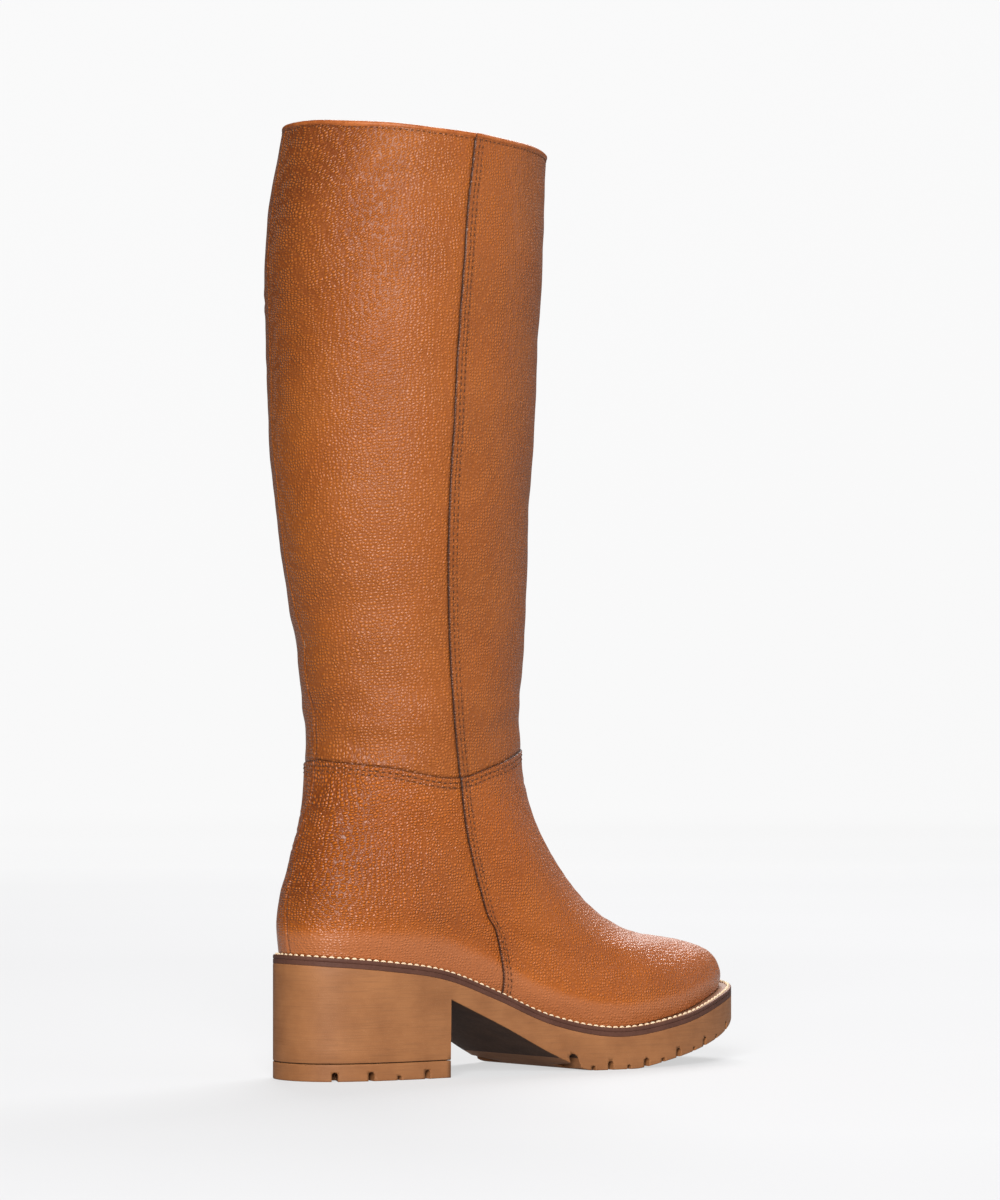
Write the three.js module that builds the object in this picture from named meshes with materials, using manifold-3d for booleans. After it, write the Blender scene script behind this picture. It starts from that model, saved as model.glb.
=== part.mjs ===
// A right-foot knee-high riding boot: a leather foot part and leg, sewn on a stitched welt
// over a moulded rubber unit with a block heel, closed by a zip along the inner side.
//
// Frame, in millimetres: the origin is on the floor under the middle of the heel,
// +X runs to the toe, +Y to the wearer's left (the inner side of a right boot), +Z up.
//
// A point of the leather's outside is skin(level, turn). Level climbs from the feather edge
// at the welt to the collar. Turn goes once round: 0 at the back, 0.25 on the outer side,
// 0.5 at the toe or shin, 0.75 on the inner side.

import * as THREE from 'three';
import { mergeVertices } from 'three/addons/utils/BufferGeometryUtils.js';
import Module from 'manifold-3d';

const wasm = await Module();
wasm.setup();

// ---- driving dimensions -------------------------------------------------------------------

const GAP = 0.3;                 // clearance between neighbouring pieces
const WALL = 2.0;                // leather, stiffener and lining together
const BACKING = 0.5;             // clearance of a strip behind the curved wall
const TURNS = 64;                // stations round the boot
const FOOT_ROWS = 13;            // rows of the foot part between welt and ankle seam
const LEG_ROWS = 12;             // rows of the leg between ankle seam and collar

const WELT = { thick: 2.1, underWall: 3.5 };
const MIDSOLE = { thick: 1.7 };
const INSOLE = { above: 1.6 };   // how far the insole stands above the welt's top
const HEEL = { breastX: 31.7, liftThick: 8.0, waistRoof: 9.0 };
const TREAD = { fromX: 97, pitch: 10.3, deep: 4.0, shallow: 1.8, ringInset: 12.5, ringWidth: 3, ringDepth: 3 };
const TREAD_BEYOND = 8;          // how far the cutters reach past the edge and the ground
const DEEP_NOTCH = { width: 2.6, reach: 12 };
const SHALLOW_NOTCH = { width: 2.0, reach: 5 };
const HEEL_TREAD = { pitch: 15.4, reach: 9, width: 2.4 };

const ZIP = { slot: 8.0, chain: 6.2, tape: 24, tapeThick: 0.8, bottomLevel: 1.9, belowRim: 1.2 };
const ZIP_UNDER = { slot: 1.5, slider: 4 };     // tape under the slot's end, chain under the slider
const CHAIN_CLEAR = 0.5;         // from the slot's lower end to the chain
const SLIDER = { belowRim: 11, length: 12, top: 9.2, bottom: 7.6, plate: 1.6, lift: 0.4 };
const SHOULDER = { drop: 2.5, inset: 2, nose: 0.4 };
const NECK = { halfWidth: 1.4, from: 3, to: 0.5 };
const BRIDGE = { width: 1.8, thick: 1.3, opening: 2.3, above: 3.2, below: 5.4, chamfer: 1.2 };
const SINK = 0.4;                // how far joined bodies run into each other
const TAB = { length: 25, width: 6, thick: 1.2, bar: 1.2, window: 9, windowWidth: 3.4, hole: 2.4, corner: 1 };
const GUSSET = { turn: 0.858, slit: 1.1, slitLength: 66, width: 15, length: 80, thick: 0.9 };

// ---- tables -------------------------------------------------------------------------------

// Half widths at five places round a section are heel, seat, waist, ball and toe, given as
// the half width that an ellipse of that fullness would have.
const FULLNESS_AT = [0, 40, 80, 125, 180].map(THREE.MathUtils.degToRad);

// follow: how much of the welt's dip at the waist and ball a section takes on.
const LAST = tableOf(
  ['level', 'backX', 'backZ', 'frontX', 'frontZ', 'frontY', 'follow',
    'heel', 'seat', 'waistOut', 'waistIn', 'ballOut', 'ballIn', 'toe'],
  [0.0, -36.3, 57.8, 223.0, 35.2, 7, 1.00, 60, 43.0, 32.0, 27, 50, 50, 54], // feather edge
  [0.5, -37.2, 66.0, 224.0, 42.5, 7, 0.97, 61, 45.0, 34.5, 29, 52, 51, 55],
  [1.2, -36.5, 77.0, 217.0, 52.5, 6, 0.85, 61, 46.0, 35.0, 31, 50, 49, 51], // toe box
  [1.9, -34.5, 86.0, 200.0, 58.0, 6, 0.62, 59, 46.0, 36.0, 32, 45, 44, 43],
  [2.7, -31.5, 95.0, 168.0, 63.0, 5, 0.40, 54, 44.0, 37.0, 34, 43, 39, 38], // vamp
  [3.5, -28.0, 107., 141.0, 76.0, 4, 0.20, 50, 43.0, 38.0, 35, 42, 38, 36], // instep
  [4.3, -24.5, 119., 118.0, 96.0, 2, 0.08, 45, 41.0, 39.0, 37, 42, 38, 36],
  [5.1, -21.0, 132., 101.0, 118., 0, 0.00, 43, 42.0, 41.0, 39, 42, 40, 38],
  [5.8, -19.0, 146., 93.0, 142., 0, 0.00, 42, 42.0, 42.0, 41, 42, 41, 40], // ankle
  [6.4, -18.7, 160., 90.0, 160., 0, 0.00, 43, 43.0, 43.0, 42, 43, 43, 42],
  [7.2, -23.5, 200., 92.0, 201., 0, 0.00, 46, 46.0, 46.0, 46, 46, 46, 46],
  [8.4, -33.5, 262., 93.5, 264., 0, 0.00, 52, 52.5, 53.0, 52, 52, 52, 52], // calf
  [9.8, -38.0, 345., 98.0, 345., 0, 0.00, 57, 58.0, 58.0, 57, 57, 57, 56],
  [10.9, -36.8, 400., 101., 394., 0, 0.00, 57, 58.0, 58.0, 57, 57, 57, 56],
  [11.7, -28.7, 443., 103.3, 429.5, 0, 0.00, 55, 55.0, 55.0, 55, 55, 55, 55], // collar
);
const COLLAR = LAST.column('level').at(-1);

// The welt's outer edge, as one more section.
const WELT_EDGE = {
  backX: -39, frontX: 229.5, frontY: 7,
  heel: 64, seat: 47, waistOut: 36.5, waistIn: 31, ballOut: 57, ballIn: 57, toe: 61,
};

// Height of the welt's top and of the rubber's underside along the boot.
const WELT_TOP = tableOf(['x', 'z'],
  [-39, 58], [-5, 54.8], [30, 49.4], [60, 39], [90, 26.8], [125, 19.8], [165, 24], [205, 33], [229.5, 36.7]);
const SOLE_BOTTOM = tableOf(['x', 'z'],
  [31.7, 36.2], [65, 21.4], [97, 5.6], [111, 0.3], [118, 0], [137, 0], [156, 3.2], [183, 8.8], [205, 14.6], [229.5, 23]);

// Where the side seam runs, and how high the ankle seam lies from the back to the front.
const SIDE_SEAM = tableOf(['level', 'turn'],
  [0, 0.215], [1.6, 0.215], [3.4, 0.229], [5.8, 0.231], [7.4, 0.215], [9.4, 0.220], [11.7, 0.232]);
const ANKLE_SEAM = tableOf(['turn', 'level'],
  [0, 5.88], [0.12, 5.77], [0.235, 5.63], [0.29, 5.83], [0.38, 6.09], [0.5, 6.15]);

function tableOf(columns, ...rows) {
  return {
    rows,
    column: (name) => rows.map((row) => row[columns.indexOf(name)]),
    // Every other column, worked out at a value of the first.
    at(value) {
      const knots = rows.map((row) => row[0]);
      const result = {};
      columns.forEach((name, i) => {
        result[name] = through(knots, rows.map((row) => row[i]), value);
      });
      return result;
    },
  };
}

// A smooth curve through values at knots. With flatEnds it leaves and arrives level.
function through(knots, values, at, flatEnds = false) {
  const last = knots.length - 1;
  const x = THREE.MathUtils.clamp(at, knots[0], knots[last]);
  const i = Math.max(0, knots.findLastIndex((knot, k) => knot <= x && k < last));
  const rise = (k) => (values[k + 1] - values[k]) / (knots[k + 1] - knots[k]);
  const slope = (k) => {
    if (k === 0 || k === last) return flatEnds ? 0 : rise(k === 0 ? 0 : last - 1);
    const before = knots[k] - knots[k - 1];
    const after = knots[k + 1] - knots[k];
    return (rise(k - 1) * after + rise(k) * before) / (before + after);
  };
  const span = knots[i + 1] - knots[i];
  const t = (x - knots[i]) / span;
  return values[i] * (2 * t ** 3 - 3 * t ** 2 + 1) + values[i + 1] * (3 * t ** 2 - 2 * t ** 3)
    + slope(i) * span * (t ** 3 - 2 * t ** 2 + t) + slope(i + 1) * span * (t ** 3 - t ** 2);
}

// ---- the last's surface -------------------------------------------------------------------

// A point of a section in plan, and how far along it is from back (0) to front (1).
function plan(section, turn) {
  const round = 2 * Math.PI * turn;
  const angle = Math.acos(THREE.MathUtils.clamp(Math.cos(round), -1, 1));
  const outer = Math.sin(round) >= 0;
  const waist = outer ? section.waistOut : section.waistIn;
  const ball = outer ? section.ballOut : section.ballIn;
  const fullness = through(FULLNESS_AT, [section.heel, section.seat, waist, ball, section.toe], angle, true);
  const along = (1 - Math.cos(angle)) / 2;
  const side = outer ? -1 : 1;
  return {
    along,
    x: THREE.MathUtils.lerp(section.backX, section.frontX, along),
    y: section.frontY * along ** 2 + side * fullness * Math.sin(angle),
  };
}

const weltTop = (x) => WELT_TOP.at(x).z;
const FEATHER = LAST.at(0);

// How far the welt dips under a straight line from heel to toe.
function dip(along) {
  const x = THREE.MathUtils.lerp(FEATHER.backX, FEATHER.frontX, along);
  return weltTop(x) - THREE.MathUtils.lerp(weltTop(FEATHER.backX), weltTop(FEATHER.frontX), along);
}

function skin(level, turn) {
  const section = LAST.at(level);
  const { along, x, y } = plan(section, turn);
  const z = THREE.MathUtils.lerp(section.backZ, section.frontZ, along) + section.follow * dip(along);
  return new THREE.Vector3(x, y, z);
}

// The skin's own directions at a point: up the boot, round it, and out.
function bearings(level, turn) {
  const stepUp = 0.02;
  const stepRound = 0.002;
  const low = Math.max(0, level - stepUp);
  const high = Math.min(COLLAR, level + stepUp);
  const up = skin(high, turn).sub(skin(low, turn)).divideScalar(high - low);
  const round = skin(level, turn + stepRound).sub(skin(level, turn - stepRound)).divideScalar(2 * stepRound);
  const out = round.clone().cross(up).normalize();
  return { up, round, out };
}

// A point moved round the skin by across millimetres and in along its normal by depth.
function onSkin(level, turn, across, depth) {
  const moved = turn + across / bearings(level, turn).round.length();
  return skin(level, moved).addScaledVector(bearings(level, moved).out, -depth);
}

// The level that lies a distance up or down the skin.
const climbed = (level, turn, distance) => level + distance / bearings(level, turn).up.length();

const sideSeamTurn = (level) => SIDE_SEAM.at(level).turn;
const zipTurn = (level) => 1 - sideSeamTurn(level);

function ankleSeamLevel(turn) {
  const fromBack = Math.abs(turn - Math.round(turn));
  return ANKLE_SEAM.at(fromBack).level;
}

// ---- meshes -------------------------------------------------------------------------------

function geometryOf(points, triangles) {
  const geometry = new THREE.BufferGeometry();
  geometry.setAttribute('position', new THREE.Float32BufferAttribute(points.flatMap((p) => p.toArray()), 3));
  geometry.setIndex(triangles.flat());
  return geometry;
}

function solid(geometry) {
  const bare = geometry.clone();
  bare.deleteAttribute('normal');
  bare.deleteAttribute('uv');
  const merged = mergeVertices(bare, 1e-4);
  return new wasm.Manifold(new wasm.Mesh({
    numProp: 3,
    vertProperties: new Float32Array(merged.attributes.position.array),
    triVerts: new Uint32Array(merged.index.array),
  }));
}

function geometryFrom(manifold) {
  const mesh = manifold.getMesh();
  const geometry = new THREE.BufferGeometry();
  geometry.setAttribute('position', new THREE.BufferAttribute(mesh.vertProperties, 3));
  geometry.setIndex(new THREE.BufferAttribute(mesh.triVerts, 1));
  return geometry;
}

// A hollow ring of rows: closed loops of points, each joined to the next, the last to the first.
function ringLoft(loops) {
  const count = loops[0].length;
  const triangles = [];
  loops.forEach((loop, i) => {
    const a = i * count;
    const b = ((i + 1) % loops.length) * count;
    for (let k = 0; k < count; k += 1) {
      const next = (k + 1) % count;
      triangles.push([a + k, a + next, b + next], [a + k, b + next, b + k]);
    }
  });
  return geometryOf(loops.flat(), triangles);
}

// A bar swept through stations, each a closed loop of points, with its two ends capped.
function sweep(loops) {
  const count = loops[0].length;
  const triangles = [];
  for (let i = 0; i + 1 < loops.length; i += 1) {
    for (let k = 0; k < count; k += 1) {
      const next = (k + 1) % count;
      const a = i * count;
      const b = a + count;
      triangles.push([a + k, a + next, b + next], [a + k, b + next, b + k]);
    }
  }
  const top = (loops.length - 1) * count;
  // Each loop runs along its outer face and back along its inner one.
  for (let k = 0; k + 1 < count / 2; k += 1) {
    const far = count - 1 - k;
    triangles.push([k, far, k + 1], [k + 1, far, far - 1]);
    triangles.push([top + k, top + k + 1, top + far], [top + k + 1, top + far - 1, top + far]);
  }
  return geometryOf(loops.flat(), triangles);
}

const turns = Array.from({ length: TURNS }, (_, k) => k / TURNS);

// A loop of the sole's outline, inset from the welt's edge or from the feather edge.
function outlinePoint(section, turn, inset) {
  const step = 0.002;
  const here = plan(section, turn);
  const ahead = plan(section, turn + step);
  const behind = plan(section, turn - step);
  const along = new THREE.Vector2(ahead.x - behind.x, ahead.y - behind.y).normalize();
  // Turn runs from the back along the outer side, so inward is to the left of travel.
  return new THREE.Vector2(here.x - along.y * inset, here.y + along.x * inset);
}

// A sheet of the sole between two heights that depend on x, laid as a ladder of rungs.
function plank(section, inset, top, bottom) {
  const half = TURNS / 2;
  const edge = turns.map((turn) => outlinePoint(section, turn, inset));
  const layer = (height) => edge.map((p) => new THREE.Vector3(p.x, p.y, height(p.x)));
  const points = [...layer(bottom), ...layer(top)];
  const triangles = [];
  for (let k = 0; k < TURNS; k += 1) {
    const next = (k + 1) % TURNS;
    triangles.push([k, next, TURNS + next], [k, TURNS + next, TURNS + k]);
  }
  for (let k = 0; k < half; k += 1) {
    const a = k;
    const b = k + 1;
    const c = (TURNS - k - 1) % TURNS;
    const d = (TURNS - k) % TURNS;
    if (k > 0) triangles.push([a, d, b], [TURNS + a, TURNS + b, TURNS + d]);
    if (k < half - 1) triangles.push([b, d, c], [TURNS + b, TURNS + c, TURNS + d]);
  }
  return geometryOf(points, triangles);
}

// A box from its lowest to its highest corner, as a solid.
function block(low, high) {
  const size = new THREE.Vector3().subVectors(high, low);
  const geometry = new THREE.BoxGeometry(size.x, size.y, size.z);
  geometry.translate((low.x + high.x) / 2, (low.y + high.y) / 2, (low.z + high.z) / 2);
  return solid(geometry);
}

const vector = (x, y, z) => new THREE.Vector3(x, y, z);
const FAR = 400;                 // past the boot in every direction

// ---- sole ---------------------------------------------------------------------------------

const weltBottom = (x) => weltTop(x) - WELT.thick;
const midsoleTop = (x) => weltBottom(x) - GAP;
const midsoleBottom = (x) => midsoleTop(x) - MIDSOLE.thick;
const rubberTop = (x) => midsoleBottom(x) - GAP;

// The underside, carried on flat over the heel as the waist's roof.
function rubberBottom(x) {
  return x < HEEL.breastX ? rubberTop(x) - HEEL.waistRoof : Math.max(0, SOLE_BOTTOM.at(x).z);
}

// Points spaced evenly along the welt's edge, from x on the outer side round the toe or heel.
function edgeStations(fromTurn, toTurn, pitch) {
  const fine = 600;
  const stations = [];
  let travelled = 0;
  let before = outlinePoint(WELT_EDGE, fromTurn, 0);
  for (let i = 0; i <= fine; i += 1) {
    const turn = THREE.MathUtils.lerp(fromTurn, toTurn, i / fine);
    const point = outlinePoint(WELT_EDGE, turn, 0);
    travelled += point.distanceTo(before);
    before = point;
    if (travelled >= stations.length * pitch) {
      const inside = outlinePoint(WELT_EDGE, turn, 1);
      stations.push({ point, inward: inside.sub(point).normalize() });
    }
  }
  return stations;
}

// A groove from outside the edge inward, tall enough to be trimmed by a tread band.
function notch({ point, inward }, width, reach) {
  const overhang = 4;
  const geometry = new THREE.BoxGeometry(reach + overhang, width, FAR);
  geometry.rotateZ(Math.atan2(inward.y, inward.x));
  const middle = (reach - overhang) / 2;
  geometry.translate(point.x + inward.x * middle, point.y + inward.y * middle, 0);
  return solid(geometry);
}

const turnAtX = (x, side) => turns
  .map((turn) => (side < 0 ? turn / 2 : 1 - turn / 2))
  .reduce((best, turn) => (Math.abs(plan(WELT_EDGE, turn).x - x) < Math.abs(plan(WELT_EDGE, best).x - x)
    ? turn : best));

// What lies within a depth of the forepart's underside.
const treadBand = (depth) => solid(plank(WELT_EDGE, -TREAD_BEYOND,
  (x) => rubberBottom(x) + depth, (x) => rubberBottom(x) - TREAD_BEYOND));

function makeOutsole() {
  const forepart = solid(plank(WELT_EDGE, 0, rubberTop, rubberBottom));
  const heelColumn = solid(plank(WELT_EDGE, 0, rubberTop, () => HEEL.liftThick + GAP));
  const overHeel = block(vector(-FAR, -FAR, -FAR), vector(HEEL.breastX, FAR, FAR));
  let sole = forepart.add(heelColumn.intersect(overHeel));

  const edge = edgeStations(turnAtX(TREAD.fromX, -1), turnAtX(TREAD.fromX, 1), TREAD.pitch);
  const deepBand = treadBand(TREAD.deep);
  const shallowBand = treadBand(TREAD.shallow);
  edge.forEach((station, i) => {
    const deep = i % 2 === 0;
    const { width, reach } = deep ? DEEP_NOTCH : SHALLOW_NOTCH;
    sole = sole.subtract(notch(station, width, reach).intersect(deep ? deepBand : shallowBand));
  });

  // A groove inside the edge lugs, and cross grooves that part the middle into bars.
  const ringBand = treadBand(TREAD.ringDepth);
  const ahead = block(vector(TREAD.fromX, -FAR, -FAR), vector(FAR, FAR, FAR));
  const outer = solid(plank(WELT_EDGE, TREAD.ringInset, () => FAR, () => -FAR));
  const inner = solid(plank(WELT_EDGE, TREAD.ringInset + TREAD.ringWidth, () => FAR, () => -FAR));
  let grooves = outer.subtract(inner);
  for (let x = TREAD.fromX + TREAD.pitch * 1.5; x < WELT_EDGE.frontX - 25; x += TREAD.pitch * 2) {
    const bar = block(vector(x, -FAR, -FAR), vector(x + TREAD.ringWidth, FAR, FAR));
    grooves = grooves.add(bar.intersect(inner));
  }
  sole = sole.subtract(grooves.intersect(ahead).intersect(ringBand));
  return geometryFrom(sole);
}

function makeTopLift() {
  const overHeel = block(vector(-FAR, -FAR, -FAR), vector(HEEL.breastX, FAR, FAR));
  let lift = solid(plank(WELT_EDGE, 0, () => HEEL.liftThick, () => 0)).intersect(overHeel);
  const back = turnAtX(HEEL.breastX - HEEL_TREAD.pitch, 1) - 1;
  const front = turnAtX(HEEL.breastX - HEEL_TREAD.pitch, -1);
  edgeStations(back, front, HEEL_TREAD.pitch).forEach((station, i) => {
    const height = i % 2 === 0 ? TREAD.deep : TREAD.shallow;
    const underHeight = block(vector(-FAR, -FAR, -FAR), vector(FAR, FAR, height));
    lift = lift.subtract(notch(station, HEEL_TREAD.width, HEEL_TREAD.reach).intersect(underHeight));
  });
  return geometryFrom(lift);
}

const makeMidsole = () => plank(WELT_EDGE, 0, midsoleTop, midsoleBottom);
const makeInsole = () => plank(FEATHER, WELT.underWall + GAP, (x) => weltTop(x) + INSOLE.above, weltBottom);

function makeWelt() {
  const loop = (section, inset, height) => turns.map((turn) => {
    const p = outlinePoint(section, turn, inset);
    return vector(p.x, p.y, height(p.x));
  });
  return ringLoft([
    loop(WELT_EDGE, 0, weltBottom),
    loop(WELT_EDGE, 0, weltTop),
    loop(FEATHER, WELT.underWall, weltTop),
    loop(FEATHER, WELT.underWall, weltBottom),
  ]);
}

// ---- leather ------------------------------------------------------------------------------

// A wall between two edges, each given as a level for every turn.
function wall(bottomLevel, topLevel, rows, settle = (point) => point) {
  const row = (share, depth) => turns.map((turn) => {
    const level = THREE.MathUtils.lerp(bottomLevel(turn), topLevel(turn), share);
    const point = onSkin(level, turn, 0, depth);
    return share === 0 ? settle(point) : point;
  });
  const shares = Array.from({ length: rows + 1 }, (_, i) => i / rows);
  return ringLoft([
    ...shares.map((share) => row(share, 0)),
    ...shares.toReversed().map((share) => row(share, WALL)),
  ]);
}

// The bottom edge stands on the welt.
const onWelt = (point) => point.setZ(weltTop(point.x) + GAP);

// A curved strip along the boot: across runs over its width, outer and inner are its depths.
function strip(turnOf, levels, width, outer, inner, cells = 4) {
  const across = Array.from({ length: cells + 1 }, (_, i) => (i / cells - 0.5) * width);
  return levels.map((level) => [
    ...across.map((a) => onSkin(level, turnOf(level), a, outer)),
    ...across.toReversed().map((a) => onSkin(level, turnOf(level), a, inner)),
  ]);
}

// The same strip carried on past the collar, so that a cut leaves nothing at the rim.
function throughCollar(loops, distance) {
  const last = loops.at(-1);
  const before = loops.at(-2);
  const beyond = last.map((point, i) => point.clone()
    .addScaledVector(point.clone().sub(before[i]).normalize(), distance));
  return [...loops, beyond];
}

const spread = (from, to, count) => Array.from({ length: count + 1 }, (_, i) => from + (to - from) * (i / count));

const CUT = { out: -3, in: WALL + 3, past: 8 };
const rimLevel = (turn, below) => climbed(COLLAR, turn, -below);

function slotCutter() {
  const levels = spread(ZIP.bottomLevel, COLLAR, 24);
  return solid(sweep(throughCollar(strip(zipTurn, levels, ZIP.slot, CUT.out, CUT.in, 2), CUT.past)));
}

function slitCutter() {
  const levels = spread(rimLevel(GUSSET.turn, GUSSET.slitLength), COLLAR, 4);
  return solid(sweep(throughCollar(strip(() => GUSSET.turn, levels, GUSSET.slit, CUT.out, CUT.in, 1), CUT.past)));
}

function makeUpper() {
  const foot = wall(() => 0, ankleSeamLevel, FOOT_ROWS, onWelt);
  return geometryFrom(solid(foot).subtract(slotCutter()));
}

function makeShaft() {
  const aboveSeam = (turn) => climbed(ankleSeamLevel(turn), turn, GAP);
  const leg = wall(aboveSeam, () => COLLAR, LEG_ROWS);
  return geometryFrom(solid(leg).subtract(slotCutter()).subtract(slitCutter()));
}

function makeGusset() {
  const levels = spread(rimLevel(GUSSET.turn, GUSSET.length), rimLevel(GUSSET.turn, ZIP.belowRim), 5);
  const face = WALL + BACKING;
  return sweep(strip(() => GUSSET.turn, levels, GUSSET.width, face, face + GUSSET.thick));
}

// ---- zip ----------------------------------------------------------------------------------

const collarZipTurn = zipTurn(COLLAR);
const sliderLevel = rimLevel(collarZipTurn, SLIDER.belowRim);

function makeZip() {
  const face = WALL + BACKING;
  const bottom = climbed(ZIP.bottomLevel, zipTurn(ZIP.bottomLevel), -ZIP_UNDER.slot);
  const tape = strip(zipTurn, spread(bottom, rimLevel(collarZipTurn, ZIP.belowRim), 24),
    ZIP.tape, face, face + ZIP.tapeThick);
  const chainFoot = climbed(ZIP.bottomLevel, zipTurn(ZIP.bottomLevel), CHAIN_CLEAR);
  const chainHead = climbed(sliderLevel, collarZipTurn, SLIDER.length / 2 - ZIP_UNDER.slider);
  const chainLevels = spread(chainFoot, chainHead, 24);
  const chain = strip(zipTurn, chainLevels, ZIP.chain, GAP, face + ZIP.tapeThick / 2, 2);
  return geometryFrom(solid(sweep(tape)).add(solid(sweep(chain))));
}

// Local axes of the slider: x across the zip, y up along it, z out from the leather.
function sliderFrame() {
  const { up, out } = bearings(sliderLevel, collarZipTurn);
  const along = up.clone().normalize();
  const across = along.clone().cross(out).normalize();
  const frame = new THREE.Matrix4().makeBasis(across, along, out);
  return frame.setPosition(skin(sliderLevel, collarZipTurn));
}

function extruded(points, depth) {
  return new THREE.ExtrudeGeometry(new THREE.Shape(points.map(([x, y]) => new THREE.Vector2(x, y))), {
    depth, bevelEnabled: false,
  });
}

const plateTop = SLIDER.lift + SLIDER.plate;
const hingeOut = plateTop + BRIDGE.opening / 2;
const hingeUp = 1.5;             // above the slider's middle

function makeSlider() {
  const half = SLIDER.length / 2;
  const shoulder = half - SHOULDER.drop;
  const nose = SLIDER.top / 2 - SHOULDER.inset;
  const tip = half + SHOULDER.nose;
  const plate = extruded([
    [-SLIDER.bottom / 2, -half], [SLIDER.bottom / 2, -half], [SLIDER.top / 2, shoulder],
    [nose, half], [SHOULDER.inset, tip], [-SHOULDER.inset, tip], [-nose, half],
    [-SLIDER.top / 2, shoulder],
  ], SLIDER.plate);
  plate.translate(0, 0, SLIDER.lift);

  // The bridge is an arch in the plane of y and z, extruded across.
  const low = hingeUp - BRIDGE.below;
  const high = hingeUp + BRIDGE.above;
  const ceiling = plateTop + BRIDGE.opening;
  const arch = extruded([
    [low, plateTop - SINK], [low, ceiling], [low + BRIDGE.chamfer, ceiling + BRIDGE.thick],
    [high - BRIDGE.chamfer, ceiling + BRIDGE.thick], [high, ceiling], [high, plateTop - SINK],
    [high - BRIDGE.thick, plateTop - SINK], [high - BRIDGE.thick, ceiling],
    [low + BRIDGE.thick, ceiling], [low + BRIDGE.thick, plateTop - SINK],
  ], BRIDGE.width);
  arch.translate(0, 0, -BRIDGE.width / 2);
  // Shape x becomes y, shape y becomes z, and the depth runs across.
  arch.applyMatrix4(new THREE.Matrix4().makeBasis(vector(0, 1, 0), vector(0, 0, 1), vector(1, 0, 0)));

  const neck = block(vector(-NECK.halfWidth, half - NECK.from, -WALL + GAP),
    vector(NECK.halfWidth, half - NECK.to, SLIDER.lift + SINK));
  const whole = solid(plate).add(solid(arch)).add(neck);
  const geometry = geometryFrom(whole);
  geometry.applyMatrix4(sliderFrame());
  return geometry;
}

function makeTab() {
  const end = hingeUp + TAB.bar / 2 - TAB.length;
  const top = hingeUp + TAB.bar / 2;
  const half = TAB.width / 2;
  const outline = new THREE.Shape();
  outline.moveTo(-half + TAB.corner, top);
  outline.lineTo(-half, top - TAB.corner);
  outline.lineTo(-half, end + half);
  outline.absarc(0, end + half, half, Math.PI, 2 * Math.PI, false);
  outline.lineTo(half, top - TAB.corner);
  outline.lineTo(half - TAB.corner, top);
  outline.closePath();
  const windowTop = top - TAB.bar;
  const side = TAB.windowWidth / 2;
  const opening = new THREE.Path([
    [-side, windowTop], [side, windowTop], [side, windowTop - TAB.window], [-side, windowTop - TAB.window],
  ].map(([x, y]) => new THREE.Vector2(x, y)));
  const hole = new THREE.Path();
  hole.absarc(0, end + half, TAB.hole / 2, 0, 2 * Math.PI, true);
  outline.holes.push(opening, hole);
  const tab = new THREE.ExtrudeGeometry(outline, { depth: TAB.thick, bevelEnabled: false, curveSegments: 10 });
  tab.translate(0, 0, hingeOut - TAB.thick / 2);
  const geometry = geometryFrom(solid(tab));
  geometry.applyMatrix4(sliderFrame());
  return geometry;
}

// ---- the boot -----------------------------------------------------------------------------

const LEATHER = { color: 0xb5651d, roughness: 0.5, metalness: 0 };
const RUBBER = { color: 0xc08a4a, roughness: 0.65, metalness: 0 };
const DARK = { color: 0x4a2f20, roughness: 0.7, metalness: 0 };
const TAPE = { color: 0x2b1f1a, roughness: 0.85, metalness: 0 };
const METAL = { color: 0x3a2c28, roughness: 0.4, metalness: 0.6 };

const PIECES = [
  ['outsole', makeOutsole, RUBBER],
  ['top_lift', makeTopLift, RUBBER],
  ['midsole', makeMidsole, DARK],
  ['welt', makeWelt, DARK],
  ['insole', makeInsole, { color: 0xc9a27a, roughness: 0.8, metalness: 0 }],
  ['upper', makeUpper, LEATHER],
  ['shaft', makeShaft, LEATHER],
  ['gusset', makeGusset, TAPE],
  ['zip', makeZip, TAPE],
  ['zip_slider', makeSlider, METAL],
  ['zip_pull_tab', makeTab, METAL],
];

const boot = new THREE.Group();
for (const [name, make, finish] of PIECES) {
  const mesh = new THREE.Mesh(make(), new THREE.MeshStandardMaterial(finish));
  mesh.name = name;
  boot.add(mesh);
}

export default boot;
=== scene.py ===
"""The looks of a right-foot knee-high leather boot, built round its CAD frame.

The frame is the CAD's: the origin is on the floor under the heel's middle, +X to the toe,
+Y to the inner side, +Z up. The boot's sizes in this file are millimetres until a mesh is
made, and the studio's are metres.
A point of the leather is skin(level, turn), as in the CAD: level climbs from the welt to the
collar, turn goes once round from the back (0) by the outer side (0.25) to the front (0.5).
"""

import math

import bmesh
import bpy
import numpy as np
from mathutils import Matrix, Vector

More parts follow.
